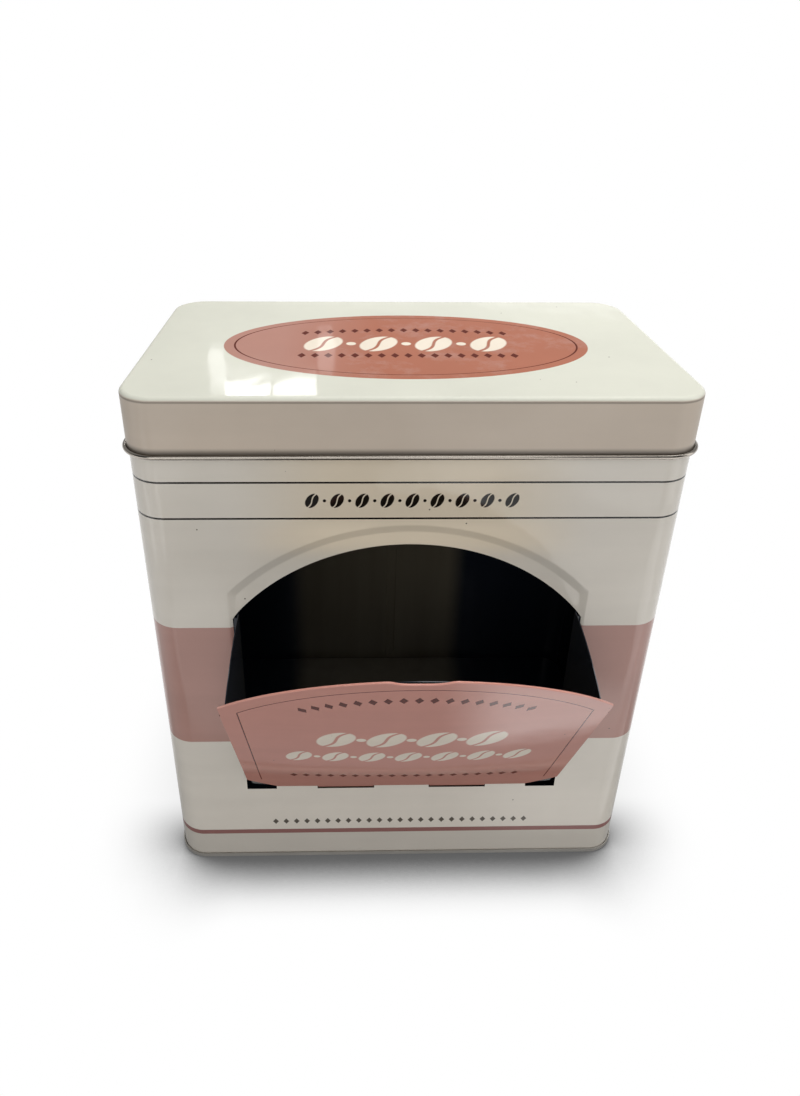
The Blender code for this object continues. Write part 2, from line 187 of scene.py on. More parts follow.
# Fineness
CORNER_STEPS = 20
EDGE_STEPS = 12
CURL_STEPS = 22
ARC_STEPS = 96
KNEE_STEPS = 8
BEND_STEPS = 6
SEAM_STEPS = 8
HEM_STEPS = 8
CHEEK_BEND_STEPS = 5
CHEEK_STEPS = 16
WIRE_STEPS = 24
DOME_STEPS = 5
BORDER_SHARE = 20
DOOR_ROWS = 26
LINER_ROWS = 12
LUG_ROWS = 3
LUG_STEPS = 4
LINER_COLUMNS = 36
SILL_STEPS = 5
WELD = 1e-7
SHARP = math.radians(34)

# Finish slots of a sheet
PRINTED, BACKSIDE, CUT_EDGE = 0, 1, 2


def linear(code):
    """Turn an sRGB hex colour into linear red, green and blue."""
    shades = [int(code[place:place + 2], 16) / 255 for place in (0, 2, 4)]
    return tuple(s / 12.92 if s <= 0.04045 else ((s + 0.055) / 1.055) ** 2.4 for s in shades)


def length_setting(name, description, default):
    """A length that a user may change."""
    return bpy.props.FloatProperty(name=name, description=description, default=default,
                                   unit="LENGTH", precision=5)


def colour_setting(name, description, code):
    """A colour that a user may change, with its default as sRGB hex."""
    return bpy.props.FloatVectorProperty(name=name, description=description, default=linear(code),
                                         subtype="COLOR", size=3, min=0, max=1)


class TinPrint(bpy.types.PropertyGroup):
    """Where the print lies on the tin."""

    upper_line: length_setting("Upper line", "Height of the upper thin line", 0.1941)
    lower_line: length_setting("Lower line", "Height of the lower thin line", 0.1796)
    line_width: length_setting("Line width", "Thickness of the thin lines", 0.00074)
    band_foot: length_setting("Band foot", "Lower edge of the broad band", 0.0714)
    band_top: length_setting("Band top", "Upper edge of the broad band", 0.1311)
    stripe_height: length_setting("Stripe height", "Height of the narrow stripe near the foot", 0.0160)
    stripe_width: length_setting("Stripe width", "Breadth of the narrow stripe", 0.0026)
    oval_half_width: length_setting("Oval half width", "Half the width of the oval on the lid", 0.0707)
    oval_half_depth: length_setting("Oval half depth", "Half the depth of the oval on the lid", 0.0379)
    frame_inset: length_setting("Frame inset", "Distance from the door's edge to its frame line", 0.0064)
    frame_width: length_setting("Frame width", "Thickness of the door's thin frame line", 0.00044)


class TinColours(bpy.types.PropertyGroup):
    """Inks, lacquer and metal of the tin."""

    cream: colour_setting("Cream", "Ground colour of the wall's print", "DFD8CC")
    lid_cream: colour_setting("Lid cream", "Ground colour of the lid's print", "DDDDCF")
    # Painted shade and reflection: warmer, slightly darker cream on the upper middle of the front, under the
    # lid
    front_shade_cream: colour_setting("Front shade cream", "Warmer ground of the print above the mouth", "E1D3BC")
    # Painted shade and reflection: the skirt's cream is a darker, warmer copy of the lid's cream
    skirt: colour_setting("Skirt", "Warmer cream on the lid's skirt", "CDBFAF")
    mauve: colour_setting("Mauve", "Broad band round the wall", "B48B80")
    rose: colour_setting("Rose", "Narrow stripe near the foot", "8E615C")
    terracotta: colour_setting("Terracotta", "Oval on the lid", "B2715A")
    blush: colour_setting("Blush", "Door face", "D19384")
    ink: colour_setting("Ink", "Thin lines and small beans of the wall", "100B07")
    brown: colour_setting("Brown", "Frame lines and lozenges on the oval and the door", "62261A")
    light: colour_setting("Light ink", "Beans on the oval and the door", "F2E6D4")
    faded: colour_setting("Faded ink", "Lozenges near the foot of the wall", "5A5349")
    dust: colour_setting("Dust", "Rare specks on the print", "6F6559")
    lacquer: colour_setting("Lacquer", "Cool black of a full coat of lacquer", "222731")
    # Painted light: warmer, lighter black laid across the middle of the inside, where light falls in through
    # the mouth
    painted_light_lacquer: colour_setting("Lit lacquer", "Warm black where the coat is thin", "6C6556")
    steel: colour_setting("Steel", "Bare tinplate on curls and cut edges", "A39C93")
    sheared: colour_setting("Sheared edge", "Dull cut edges of the sheets", "5E514A")
    # Painted reflection: the base's bare tinplate is paler than the curls' steel, standing in for the bright
    # floor it reflects
    rim_steel: colour_setting("Pale rim steel", "Dull bare tinplate of the base", "CBC7C0")


def wire(tree, node, inputs):
    """Set or link a node's inputs by name or number."""
    for key, value in inputs.items():
        if isinstance(value, bpy.types.Node):
            value = value.outputs[0]
        if isinstance(value, bpy.types.NodeSocket):
            tree.links.new(value, node.inputs[key])
        else:
            node.inputs[key].default_value = value


def add(tree, kind, inputs, **settings):
    """Add a node with its settings and links."""
    made = tree.nodes.new("ShaderNode" + kind)
    for key, value in settings.items():
        setattr(made, key, value)
    wire(tree, made, inputs)
    return made


def per(millimetres):
    """Scale of a pattern whose marks measure this much on the tin."""
    return 1000 / millimetres


def start_material(name):
    """Make an empty material: (material, its tree, place on the piece)."""
    made = bpy.data.materials.new(name)
    made.use_nodes = True
    return made, made.node_tree, add(made.node_tree, "TexCoord", {}).outputs["Object"]


def near(tree, value, middle, half, soft):
    """Mask that is 1 where value lies within half of middle, with a soft edge."""
    shifted = add(tree, "Math", {0: value, 1: middle}, operation="SUBTRACT")
    away = add(tree, "Math", {0: shifted}, operation="ABSOLUTE")
    return add(tree, "MapRange", {"Value": away, "From Min": half - soft / 2, "From Max": half + soft / 2,
                                  "To Min": 1.0, "To Max": 0.0}, interpolation_type="SMOOTHSTEP")


def printed(tree, ground, ink, *masks):
    """Lay an ink over the ground where all the masks are 1."""
    mask = masks[0]
    for other in masks[1:]:
        mask = add(tree, "Math", {0: mask, 1: other}, operation="MULTIPLY")
    return add(tree, "Mix", {0: mask, 6: ground, 7: (*ink, 1.0)}, data_type="RGBA").outputs[2]


def distance(tree, first, second, half_first, half_second):
    """Distance from the middle in units of the two half sizes."""
    across = add(tree, "Math", {0: first, 1: half_first}, operation="DIVIDE")
    along = add(tree, "Math", {0: second, 1: half_second}, operation="DIVIDE")
    square = add(tree, "Math", {0: across, 1: across}, operation="MULTIPLY")
    total = add(tree, "Math", {0: along, 1: along, 2: square}, operation="MULTIPLY_ADD")
    return add(tree, "Math", {0: total}, operation="SQRT")


def row_of(tree, along, count, pitch):
    """Share of a cell from the middle of the nearest of count cells, and the mask of the whole row."""
    cell = add(tree, "Math", {0: along, 1: pitch}, operation="DIVIDE")
    shifted = add(tree, "Math", {0: cell, 1: 0.5 if count % 2 == 0 else 0.0}, operation="ADD")
    whole = add(tree, "Math", {0: shifted}, operation="ROUND")
    part = add(tree, "Math", {0: shifted, 1: whole}, operation="SUBTRACT")
    return part, near(tree, cell, 0.0, count / 2, 0.01)


def bean_row(tree, ground, ink, along, height, row, *masks):
    """Print a row of slanting coffee beans, with a dot between neighbours."""
    middle, count, pitch, length = row
    up = add(tree, "Math", {0: height, 1: middle}, operation="SUBTRACT")
    part, whole_row = row_of(tree, along, count, pitch)
    local = add(tree, "Math", {0: part, 1: pitch}, operation="MULTIPLY")
    sides = []
    for turn in (BEAN_SLANT, BEAN_SLANT + math.pi / 2):
        side = add(tree, "Math", {0: local, 1: math.cos(turn)}, operation="MULTIPLY")
        sides.append(add(tree, "Math", {0: up, 1: math.sin(turn), 2: side}, operation="MULTIPLY_ADD"))
    bean = near(tree, distance(tree, *sides, length / 2, length * BEAN_HALF_SHARE), 0.0, 1.0, 0.12)
    bend = add(tree, "Math", {0: sides[0], 1: math.pi * SLIT_WAVES / length}, operation="MULTIPLY")
    bend = add(tree, "Math", {0: bend}, operation="SINE")
    bend = add(tree, "Math", {0: bend, 1: -length * SLIT_SWING_SHARE, 2: sides[1]}, operation="MULTIPLY_ADD")
    slit = near(tree, bend, 0.0, length * SLIT_HALF_SHARE, length * 0.03)
    beside_slit = add(tree, "Math", {0: 1.0, 1: slit}, operation="SUBTRACT")
    ground = printed(tree, ground, ink, bean, beside_slit, whole_row, *masks)
    part, inner_row = row_of(tree, along, count - 1, pitch)
    local = add(tree, "Math", {0: part, 1: pitch}, operation="MULTIPLY")
    dot = near(tree, distance(tree, local, up, length * DOT_SHARE, length * DOT_SHARE), 0.0, 1.0, 0.25)
    return printed(tree, ground, ink, dot, inner_row, *masks)


def lozenge_row(tree, ground, ink, along, height, row, *masks):
    """Print a row of small lozenges."""
    middle, count, pitch, half_width, half_height = row
    part, whole_row = row_of(tree, along, count, pitch)
    sideways = add(tree, "Math", {0: part}, operation="ABSOLUTE")
    sideways = add(tree, "Math", {0: sideways, 1: pitch / half_width}, operation="MULTIPLY")
    upward = add(tree, "Math", {0: height, 1: middle}, operation="SUBTRACT")
    upward = add(tree, "Math", {0: upward}, operation="ABSOLUTE")
    reach = add(tree, "Math", {0: upward, 1: 1 / half_height, 2: sideways}, operation="MULTIPLY_ADD")
    return printed(tree, ground, ink, near(tree, reach, 0.0, 1.0, 0.2), whole_row, *masks)


def aged(tree, colour, place, dust, amount):
    """Let the ink vary in clouds and along the rollers, and carry a few dust specks."""
    drawn = add(tree, "Mapping", {"Vector": place, "Scale": (per(143), per(143), per(13.33))})
    cloud = add(tree, "TexNoise", {"Vector": place, "Scale": per(35.71), "Detail": 5.0, "Roughness": 0.6})
    streaks = add(tree, "TexNoise", {"Vector": drawn, "Scale": 1.0, "Detail": 3.0})
    for pattern, reach in ((cloud, 0.25), (streaks, 0.2)):
        shade = add(tree, "MapRange", {"Value": pattern, "From Min": 0.5 - reach, "From Max": 0.5 + reach,
                                       "To Min": 1 - amount, "To Max": 1 + amount})
        colour = add(tree, "VectorMath", {0: colour, 1: shade}, operation="MULTIPLY")
    specks = add(tree, "TexVoronoi", {"Vector": place, "Scale": per(13.33)}).outputs["Distance"]
    return printed(tree, colour, dust, near(tree, specks, 0.0, 0.022, 0.01))


def varnish(tree, colour, place, roughness, wave_depth, weight):
    """Clear varnish over print on sheet: slow waves, shallow dents, fine orange peel and uneven gloss."""
    drawn = add(tree, "Mapping", {"Vector": place, "Scale": (per(18.18), per(41.67), per(33.33))})
    waves = add(tree, "TexNoise", {"Vector": place, "Scale": per(62.5), "Detail": 1.0, "Roughness": 0.4})
    dents = add(tree, "TexNoise", {"Vector": drawn, "Scale": 1.0, "Roughness": 0.6})
    peel = add(tree, "TexNoise", {"Vector": place, "Scale": per(1.111), "Detail": 1.0})
    slow = add(tree, "Bump", {"Distance": wave_depth, "Height": waves})
    middle = add(tree, "Bump", {"Distance": DENT_DEPTH, "Height": dents, "Normal": slow})
    fine = add(tree, "Bump", {"Distance": PEEL_DEPTH, "Height": peel, "Normal": middle})
    smears = add(tree, "TexNoise", {"Vector": place, "Scale": per(33.33), "Detail": 3.0})
    gloss = add(tree, "MapRange", {"Value": smears, "From Min": 0.3, "From Max": 0.75,
                                   "To Min": roughness * 0.85, "To Max": roughness * 1.2})
    wire(tree, tree.nodes["Principled BSDF"], {
        "Base Color": colour, "Roughness": gloss, "Normal": fine, "Specular IOR Level": 0.0,
        "Coat Weight": weight, "Coat Roughness": 0.07, "Coat Normal": fine})


def wall_print(scene):
    """Offset-printed and varnished tinplate: cream ink under a clear gloss, crisp line edges; the front
    carries painted shade and a painted highlight.
    """
    lay, inks = scene.tin_print, scene.tin_colours
    made, tree, place = start_material("offset_printed_tinplate_wall")
    x, y, z = add(tree, "SeparateXYZ", {0: place}).outputs
    front = near(tree, y, FRONT, 0.003, 0.001)
    middle = near(tree, x, 0.0, 0.045, 0.045)
    high = add(tree, "MapRange", {"Value": z, "From Min": 0.150, "From Max": 0.180},
               interpolation_type="SMOOTHSTEP")
    arch_highlight = near(tree, z, 0.1715, 0.006, 0.010)
    # Painted shade and light on the ground: warmer and slightly darker above the mouth as painted shade and
    # reflection under the lid, lightest right over the arch as a painted highlight, and darker under the
    # stripe as painted shade at the foot
    colour = printed(tree, (*inks.cream, 1.0), inks.front_shade_cream, middle, high, front)
    colour = printed(tree, colour, [1.22 * c for c in inks.front_shade_cream], middle, arch_highlight, front)
    # Painted shade: the ground is darker below the stripe, near the floor
    foot = near(tree, z, 0.0, lay.stripe_height, 0.004)
    colour = printed(tree, colour, [0.78 * c for c in inks.cream], foot)
    lines = [((lay.band_foot + lay.band_top) / 2, lay.band_top - lay.band_foot, inks.mauve),
             (lay.stripe_height, lay.stripe_width, inks.rose),
             (lay.upper_line, lay.line_width, inks.ink),
             (lay.lower_line, lay.line_width, inks.ink)]
    for height, width, ink in lines:
        colour = printed(tree, colour, ink, near(tree, z, height, width / 2, PRINT_EDGE))
    beans = ((lay.upper_line + lay.lower_line) / 2, *WALL_BEANS)
    colour = bean_row(tree, colour, inks.ink, x, z, beans, front)
    colour = lozenge_row(tree, colour, inks.faded, x, z, WALL_LOZENGES, front)
    colour = aged(tree, colour, place, inks.dust, amount=0.03)
    varnish(tree, colour, place, roughness=0.3, wave_depth=0.00035, weight=0.8)
    return made


def lid_print(scene):
    """Offset-printed and varnished tinplate: a terracotta oval, paler in places, with a fine inner line on
    cream.
    """
    lay, inks = scene.tin_print, scene.tin_colours
    made, tree, place = start_material("offset_printed_tinplate_lid")
    x, y, z = add(tree, "SeparateXYZ", {0: place}).outputs
    back = add(tree, "Math", {0: y, 1: CENTRE_Y - OVAL_FORWARD}, operation="SUBTRACT")
    top = add(tree, "Math", {0: z, 1: LID_HIGH.z - 0.0006}, operation="GREATER_THAN")
    wide, deep = lay.oval_half_width, lay.oval_half_depth
    oval = near(tree, distance(tree, x, back, wide, deep), 0.0, 1.0, 0.004)
    # The top keeps the lid's cream; the rest takes the skirt's cream as painted shade and warm reflection
    colour = printed(tree, (*inks.skirt, 1.0), inks.lid_cream, near(tree, z, LID_HIGH.z, 0.0011, 0.0006))
    # Painted shade: the skirt is darker where it meets the curl, standing in for a dark reflection and shade
    # there, and a painted shade line runs under the rounded edge
    flare = near(tree, z, LID_LOW.z, 0.0030, 0.0026)
    colour = printed(tree, colour, [0.22 * c for c in inks.skirt], flare)
    crease = near(tree, z, LID_HIGH.z - LID_EDGE + 0.0001, 0.00035, 0.0005)
    colour = printed(tree, colour, [0.55 * c for c in inks.skirt], crease)
    colour = printed(tree, colour, inks.terracotta, oval, top)
    # Wear has made the oval paler in patches; its left end as a whole is paler as painted glare from the
    # window lamps
    scuffs = add(tree, "TexNoise", {"Vector": place, "Scale": per(15.38), "Detail": 9.0, "Roughness": 0.72})
    wear_and_glare = add(tree, "MapRange", {"Value": scuffs, "From Min": 0.5, "From Max": 0.75, "To Max": 0.45})
    left_glare = add(tree, "MapRange", {"Value": x, "From Min": -0.012, "From Max": -0.048, "To Max": 0.35})
    wear_and_glare = add(tree, "Math", {0: wear_and_glare, 1: left_glare}, operation="MAXIMUM")
    colour = printed(tree, colour, [0.55 * c + 0.3 for c in inks.terracotta], wear_and_glare, oval, top)
    ring = near(tree, distance(tree, x, back, wide - RING_INSET, deep - RING_INSET), 1.0, 0.0056, 0.003)
    colour = printed(tree, colour, inks.brown, ring, top)
    colour = bean_row(tree, colour, inks.light, x, back, OVAL_BEANS, top)
    colour = lozenge_row(tree, colour, inks.brown, x, back, OVAL_LOW_LOZENGES, top)
    arch = add(tree, "Math", {0: x, 1: x}, operation="MULTIPLY")
    arch = add(tree, "Math", {0: arch, 1: OVAL_ARCH_BEND, 2: back}, operation="MULTIPLY_ADD")
    colour = lozenge_row(tree, colour, inks.brown, x, arch, OVAL_HIGH_LOZENGES, top)
    colour = aged(tree, colour, place, inks.dust, amount=0.035)
    varnish(tree, colour, place, roughness=0.28, wave_depth=0.0004, weight=0.35)
    return made


def door_print(scene):
    """Offset-printed and varnished tinplate: blush ink with a fine frame line along the door's outline."""
    lay, inks = scene.tin_print, scene.tin_colours
    made, tree, place = start_material("offset_printed_tinplate_door")
    # Places are measured in the door's own plane, from the hinge axis
    place = add(tree, "Mapping", {"Vector": place, "Location": HINGE, "Rotation": (OPEN_ANGLE, 0.0, 0.0)},
                vector_type="TEXTURE").outputs[0]
    x, _, z = add(tree, "SeparateXYZ", {0: place}).outputs
    slope = (DOOR_TOP_HALF - DOOR_FOOT_HALF) / (DOOR_ARC + DOOR_RADIUS)
    width = add(tree, "Math", {0: x}, operation="ABSOLUTE")
    side = add(tree, "Math", {0: z, 1: -slope, 2: width}, operation="MULTIPLY_ADD")
    side = add(tree, "Math", {0: side, 1: DOOR_FOOT_HALF}, operation="SUBTRACT")
    up = add(tree, "Math", {0: z, 1: DOOR_ARC}, operation="SUBTRACT")
    radius = distance(tree, x, up, 1.0, 1.0)
    arch = add(tree, "Math", {0: radius, 1: DOOR_RADIUS}, operation="SUBTRACT")
    outline = add(tree, "Math", {0: side, 1: arch}, operation="MAXIMUM")
    line = near(tree, outline, -lay.frame_inset, lay.frame_width / 2, PRINT_EDGE)
    above_foot = add(tree, "MapRange", {"Value": z, "From Min": 0.013, "From Max": 0.015},
                     interpolation_type="SMOOTHSTEP")
    # Painted shade: the ink is darker along the foot, standing in for the shaded wall that the door reflects
    # there
    foot = near(tree, z, 0.0, 0.029, 0.008)
    colour = printed(tree, (*inks.blush, 1.0), [0.76 * c for c in inks.blush], foot)
    colour = printed(tree, colour, inks.brown, line, above_foot)
    tilt = add(tree, "Math", {0: x, 1: up}, operation="ARCTAN2")
    along = add(tree, "Math", {0: tilt, 1: DOOR_ROW_RADIUS}, operation="MULTIPLY")
    colour = lozenge_row(tree, colour, inks.brown, along, radius, DOOR_HIGH_LOZENGES)
    for row in (DOOR_HIGH_BEANS, DOOR_LOW_BEANS):
        colour = bean_row(tree, colour, inks.light, x, z, row)
    colour = lozenge_row(tree, colour, inks.brown, x, z, DOOR_LOW_LOZENGES)
    # The varnish thins out towards the folded foot
    coat = add(tree, "MapRange", {"Value": z, "From Min": 0.022, "From Max": 0.030,
                                  "To Min": 0.12, "To Max": 0.8})
    colour = aged(tree, colour, place, inks.dust, amount=0.035)
    varnish(tree, colour, place, roughness=0.3, wave_depth=0.0005, weight=coat)
    return made


def black_lacquer(name, full, thin):
    """Lacquer rolled on tinplate: deep black and faintly streaked, with a warmer band across mid-sheet as
    painted light where light falls in through the mouth.
    """
    made, tree, place = start_material(name)
    drawn = add(tree, "Mapping", {"Vector": place, "Scale": (per(11.11), per(11.11), per(200))})
    streaks = add(tree, "TexNoise", {"Vector": drawn, "Scale": 1.0, "Detail": 3.0})
    waves = add(tree, "TexNoise", {"Vector": place, "Scale": per(55.56), "Detail": 1.0})
    x = add(tree, "SeparateXYZ", {0: place}).outputs[0]
    # Painted light: the middle band takes the warmer black, where light falls in through the mouth
    colour = printed(tree, (*full, 1.0), thin, near(tree, x, -0.0075, 0.0435, 0.012))
    shade = add(tree, "MapRange", {"Value": streaks, "To Min": 0.8, "To Max": 1.2})
    wire(tree, tree.nodes["Principled BSDF"], {
        "Base Color": add(tree, "VectorMath", {0: colour, 1: shade}, operation="MULTIPLY"),
        "Roughness": add(tree, "MapRange", {"Value": streaks, "To Min": 0.12, "To Max": 0.20}),
        "Normal": add(tree, "Bump", {"Distance": 0.0003, "Height": waves})})
    return made


def bare_tinplate(name, steel, low_gloss=0.14, high_gloss=0.26):
    """Cold-rolled tinplate, left bare: grey metal with fine rolling lines and dull patches.

    The real rolling lines are too fine to show, so they are drawn about 1 mm apart.
    """
    made, tree, place = start_material(name)
    drawn = add(tree, "Mapping", {"Vector": place, "Scale": (per(55.56), per(1.111), per(1.111))})
    lines = add(tree, "TexNoise", {"Vector": drawn, "Scale": 1.0, "Detail": 3.0})
    patches = add(tree, "TexNoise", {"Vector": place, "Scale": per(16.67), "Detail": 4.0})
    wire(tree, tree.nodes["Principled BSDF"], {
        "Base Color": printed(tree, (*(c * 0.72 for c in steel), 1.0), steel, patches),
        "Metallic": 1.0,
        "Roughness": add(tree, "MapRange", {"Value": lines, "From Min": 0.3, "From Max": 0.7,
                                            "To Min": low_gloss, "To Max": high_gloss}),
        "Normal": add(tree, "Bump", {"Strength": 0.35, "Distance": 0.00001, "Height": lines})})
    return made


class SheetMetal:
    """A thin sheet, kept as matching points on its printed side and its back."""

    def __init__(self):
        self.faces = []
        self.points = []
        self.known = {}

    def number(self, front, back):
        """Number of a pair of points, the same for the same place."""
        key = tuple(round(value / WELD) for value in (*front, *back))
        if key not in self.known:
            self.known[key] = len(self.points)
            self.points.append((Vector(front), Vector(back)))
        return self.known[key]

    def grid(self, rows, closed=False):
        """Fill the cells between neighbouring rows of pairs."""
        numbered = [[self.number(*pair) for pair in row] for row in rows]
        for low, high in zip(numbered, numbered[1:]):
            count = len(low)
            for step in range(count if closed else count - 1):
                after = (step + 1) % count
                corners = list(dict.fromkeys((low[step], low[after], high[after], high[step])))
                if len(corners) > 2:
                    self.faces.append(corners)

    def panel(self, row):
        """Fill a flat outline of pairs."""
        self.faces.append([self.number(*pair) for pair in row])

    def build(self, name, finishes):
        """Make the object: both sides and the cut edges that close them."""
        shape = bmesh.new()
        fronts = [shape.verts.new(pair[0]) for pair in self.points]
        backs = [shape.verts.new(pair[1]) for pair in self.points]
        used = {}
        for corners in self.faces:
            face = shape.faces.new([fronts[i] for i in corners])
            face.material_index = PRINTED
            face = shape.faces.new([backs[i] for i in reversed(corners)])
            face.material_index = BACKSIDE
            for first, second in zip(corners, corners[1:] + corners[:1]):
                edge = frozenset((first, second))
                used[edge] = None if edge in used else (first, second)
        for ends in used.values():
            if ends:
                first, second = ends
                face = shape.faces.new((fronts[second], fronts[first], backs[first], backs[second]))
                face.material_index = CUT_EDGE
        return finish_mesh(name, shape, finishes)


def finish_mesh(name, shape, finishes):
    """Turn a closed bmesh into a shaded object with its finishes."""
    bmesh.ops.recalc_face_normals(shape, faces=shape.faces[:])
    mesh = bpy.data.meshes.new(name)
    shape.to_mesh(mesh)
    shape.free()
    for finish in finishes:
        mesh.materials.append(finish)
    for face in mesh.polygons:
        face.use_smooth = True
    mesh.set_sharp_from_angle(angle=SHARP)
    made = bpy.data.objects.new(name, mesh)
    bpy.context.scene.collection.objects.link(made)
    smooth = made.modifiers.new("face_weighted_normals", "WEIGHTED_NORMAL")
    smooth.keep_sharp = True
    smooth.weight = 90
    return made


def close_rings(shape, rings):
    """Join rings of vertices one after another, and close both ends."""
    for low, high in zip(rings, rings[1:]):
        for index, vertex in enumerate(low):
            after = (index + 1) % len(low)
            shape.faces.new((vertex, low[after], high[after], high[index]))
    shape.faces.new(rings[0])
    shape.faces.new(rings[-1])


def arc(centre, radius, start, turn, steps):
    """Points of an arc in a plane, from start through turn."""
    points = []
    for step in range(steps + 1):
        angle = start + turn * step / steps
        points.append((centre[0] + radius * math.cos(angle), centre[1] + radius * math.sin(angle)))
    return points


def spread(start, end, count):
    """Evenly spaced values from start to end, both included."""
    return [start + (end - start) * step / count for step in range(count + 1)]


def corner_path(width, depth, radius):
    """Points of a rounded rectangle, anticlockwise from the right side, with the outward direction."""
    path = []
    for quarter, (side_x, side_y) in enumerate(((1, 1), (-1, 1), (-1, -1), (1, -1))):
        middle = Vector((side_x * (width / 2 - radius), CENTRE_Y + side_y * (depth / 2 - radius)))
        for step in range(CORNER_STEPS + 1):
            angle = (quarter + step / CORNER_STEPS) * math.pi / 2
            outward = Vector((math.cos(angle), math.sin(angle)))
            path.append((middle + outward * radius, outward))
    return path


def swept_row(path, front, back):
    """One row of pairs round a path, from (outset, height) of the two sides."""
    row = []
    for point, outward in path:
        first = point + outward * front[0]
        second = point + outward * back[0]
        row.append(((first.x, first.y, front[1]), (second.x, second.y, back[1])))
    return row


def profile_sheet(name, path, fronts, backs, finishes, capped):
    """Carry a profile round a path, with a flat panel inside its first row when capped."""
    sheet = SheetMetal()
    rows = [swept_row(path, front, back) for front, back in zip(fronts, backs)]
    sheet.grid(rows, closed=True)
    if capped:
        sheet.panel(rows[0])
    return sheet.build(name, finishes)


def recess_depth(x, z):
    """How far the wall is pressed in at a point of the front."""
    rise = RECESS_RADIUS - math.hypot(x, z - ARC_HEIGHT)
    beside = (RECESS_HALF - abs(x)) * RECESS_RUN / RECESS_SIDE_RUN
    share = beside if z < ARC_HEIGHT else min(rise, beside)
    share = share / RECESS_RUN
    if share <= -SHOULDER:
        eased = 0.0
    elif share < SHOULDER:
        eased = (share + SHOULDER) ** 2 / (4 * SHOULDER)
    elif share < 1 - SHOULDER:
        eased = share
    elif share < 1 + SHOULDER:
        eased = 1 - (1 + SHOULDER - share) ** 2 / (4 * SHOULDER)
    else:
        eased = 1.0
    fade = min(max((z - RECESS_FOOT) / RECESS_FADE, 0.0), 1.0)
    return RECESS_DEPTH * eased * fade * fade * (3 - 2 * fade)


def sill_levels():
    """Places along the sill where the mouth's lower edge has points."""
    marks = [-MOUTH_HALF]
    stops = [-NOTCH_START, -TAB_OUTER - KNUCKLE_GAP, -TAB_INNER + KNUCKLE_GAP,
             TAB_INNER - KNUCKLE_GAP, TAB_OUTER + KNUCKLE_GAP, NOTCH_START, MOUTH_HALF]
    for stop in stops:
        marks += spread(marks[-1], stop, SILL_STEPS)[1:]
    return marks


def side_heights(foot):
    """Heights of the points up the straight side of the mouth, from foot to its shoulder."""
    # The points lie closer together near both ends, where the outline turns
    shares = spread(0.0, 0.12, 9) + spread(0.12, 0.90, 16)[1:] + spread(0.90, 1.0, 4)[1:]
    shoulder = ARC_HEIGHT + math.sqrt(MOUTH_RADIUS ** 2 - MOUTH_HALF ** 2)
    return [foot + (shoulder - foot) * share for share in shares]


def mirrored(ring, side):
    """Close an outline with the same points on its left side."""
    return ring + [(-across, height) for across, height in reversed(side)]


def mouth_ring():
    """The mouth's own edge from the sill's left end anticlockwise, as (x, z)."""
    ring = [(x, SILL) for x in sill_levels()]
    side = [(MOUTH_HALF, height) for height in side_heights(SILL)[1:]]
    start = math.asin(MOUTH_HALF / MOUTH_RADIUS)
    knee = math.asin(MOUTH_HALF / (RECESS_RADIUS - RECESS_RUN))
    angles = spread(start, knee, KNEE_STEPS) + spread(knee, -knee, ARC_STEPS)[1:]
    angles += spread(-knee, -start, KNEE_STEPS)[1:]
    arch = [(MOUTH_RADIUS * math.sin(angle), ARC_HEIGHT + MOUTH_RADIUS * math.cos(angle))
            for angle in angles[1:-1]]
    return mirrored(ring + side + arch, side)


def recess_ring(level):
    """One outline in the pressed slope: level 1 is its foot and 0 its top."""
    half = RECESS_HALF - RECESS_SIDE_RUN * level
    radius = RECESS_RADIUS - RECESS_RUN * level
    wide = max(half, MOUTH_HALF)
    foot = SILL - SILL_DROP * min(max(1.0 - level, 0.0), 1.5)
    ring = [(x * wide / MOUTH_HALF if abs(x) > NOTCH_START + WELD else x, foot) for x in sill_levels()]
    side = [(wide, height) for height in side_heights(foot)[1:]]
    low, knee = side[-1][1], ARC_HEIGHT + math.sqrt(radius ** 2 - half ** 2)
    for step in range(1, KNEE_STEPS + 1):
        share = step / KNEE_STEPS
        side.append((wide + (half - wide) * share, low + (knee - low) * share))
    reach = math.asin(half / radius)
    arch = arc((0, ARC_HEIGHT), radius, math.pi / 2 - reach, 2 * reach, ARC_STEPS)[1:-1]
    return mirrored(ring + side + arch, side)


def border_heights():
    """Heights at which the flat front and the rest of the wall have points."""
    heights = side_heights(WALL_FOOT)
    knee = ARC_HEIGHT + math.sqrt(RECESS_RADIUS ** 2 - RECESS_HALF ** 2)
    heights += spread(heights[-1], knee, KNEE_STEPS)[1:]
    return heights + spread(knee, WALL_TOP, BORDER_SHARE)[1:]


def border_tops():
    """Places along the top of the flat front, from right to left, without its corners."""
    half = WALL_WIDTH / 2 - WALL_CORNER
    return spread(half, -half, ARC_STEPS - 2 * BORDER_SHARE)[1:-1]


def border_ring():
    """Edge of the flat front, point for point with the rings round the mouth."""
    half = WALL_WIDTH / 2 - WALL_CORNER
    foot = [(x * half / MOUTH_HALF, WALL_FOOT) for x in sill_levels()]
    side = [(half, height) for height in border_heights()[1:]]
    return mirrored(foot + side + [(x, WALL_TOP) for x in border_tops()], side)


def front_pair(x, z):
    """Pair of points of the front at (x, z)."""
    depth = recess_depth(x, z)
    return (x, FRONT + depth, z), (x, FRONT + depth + SHEET, z)


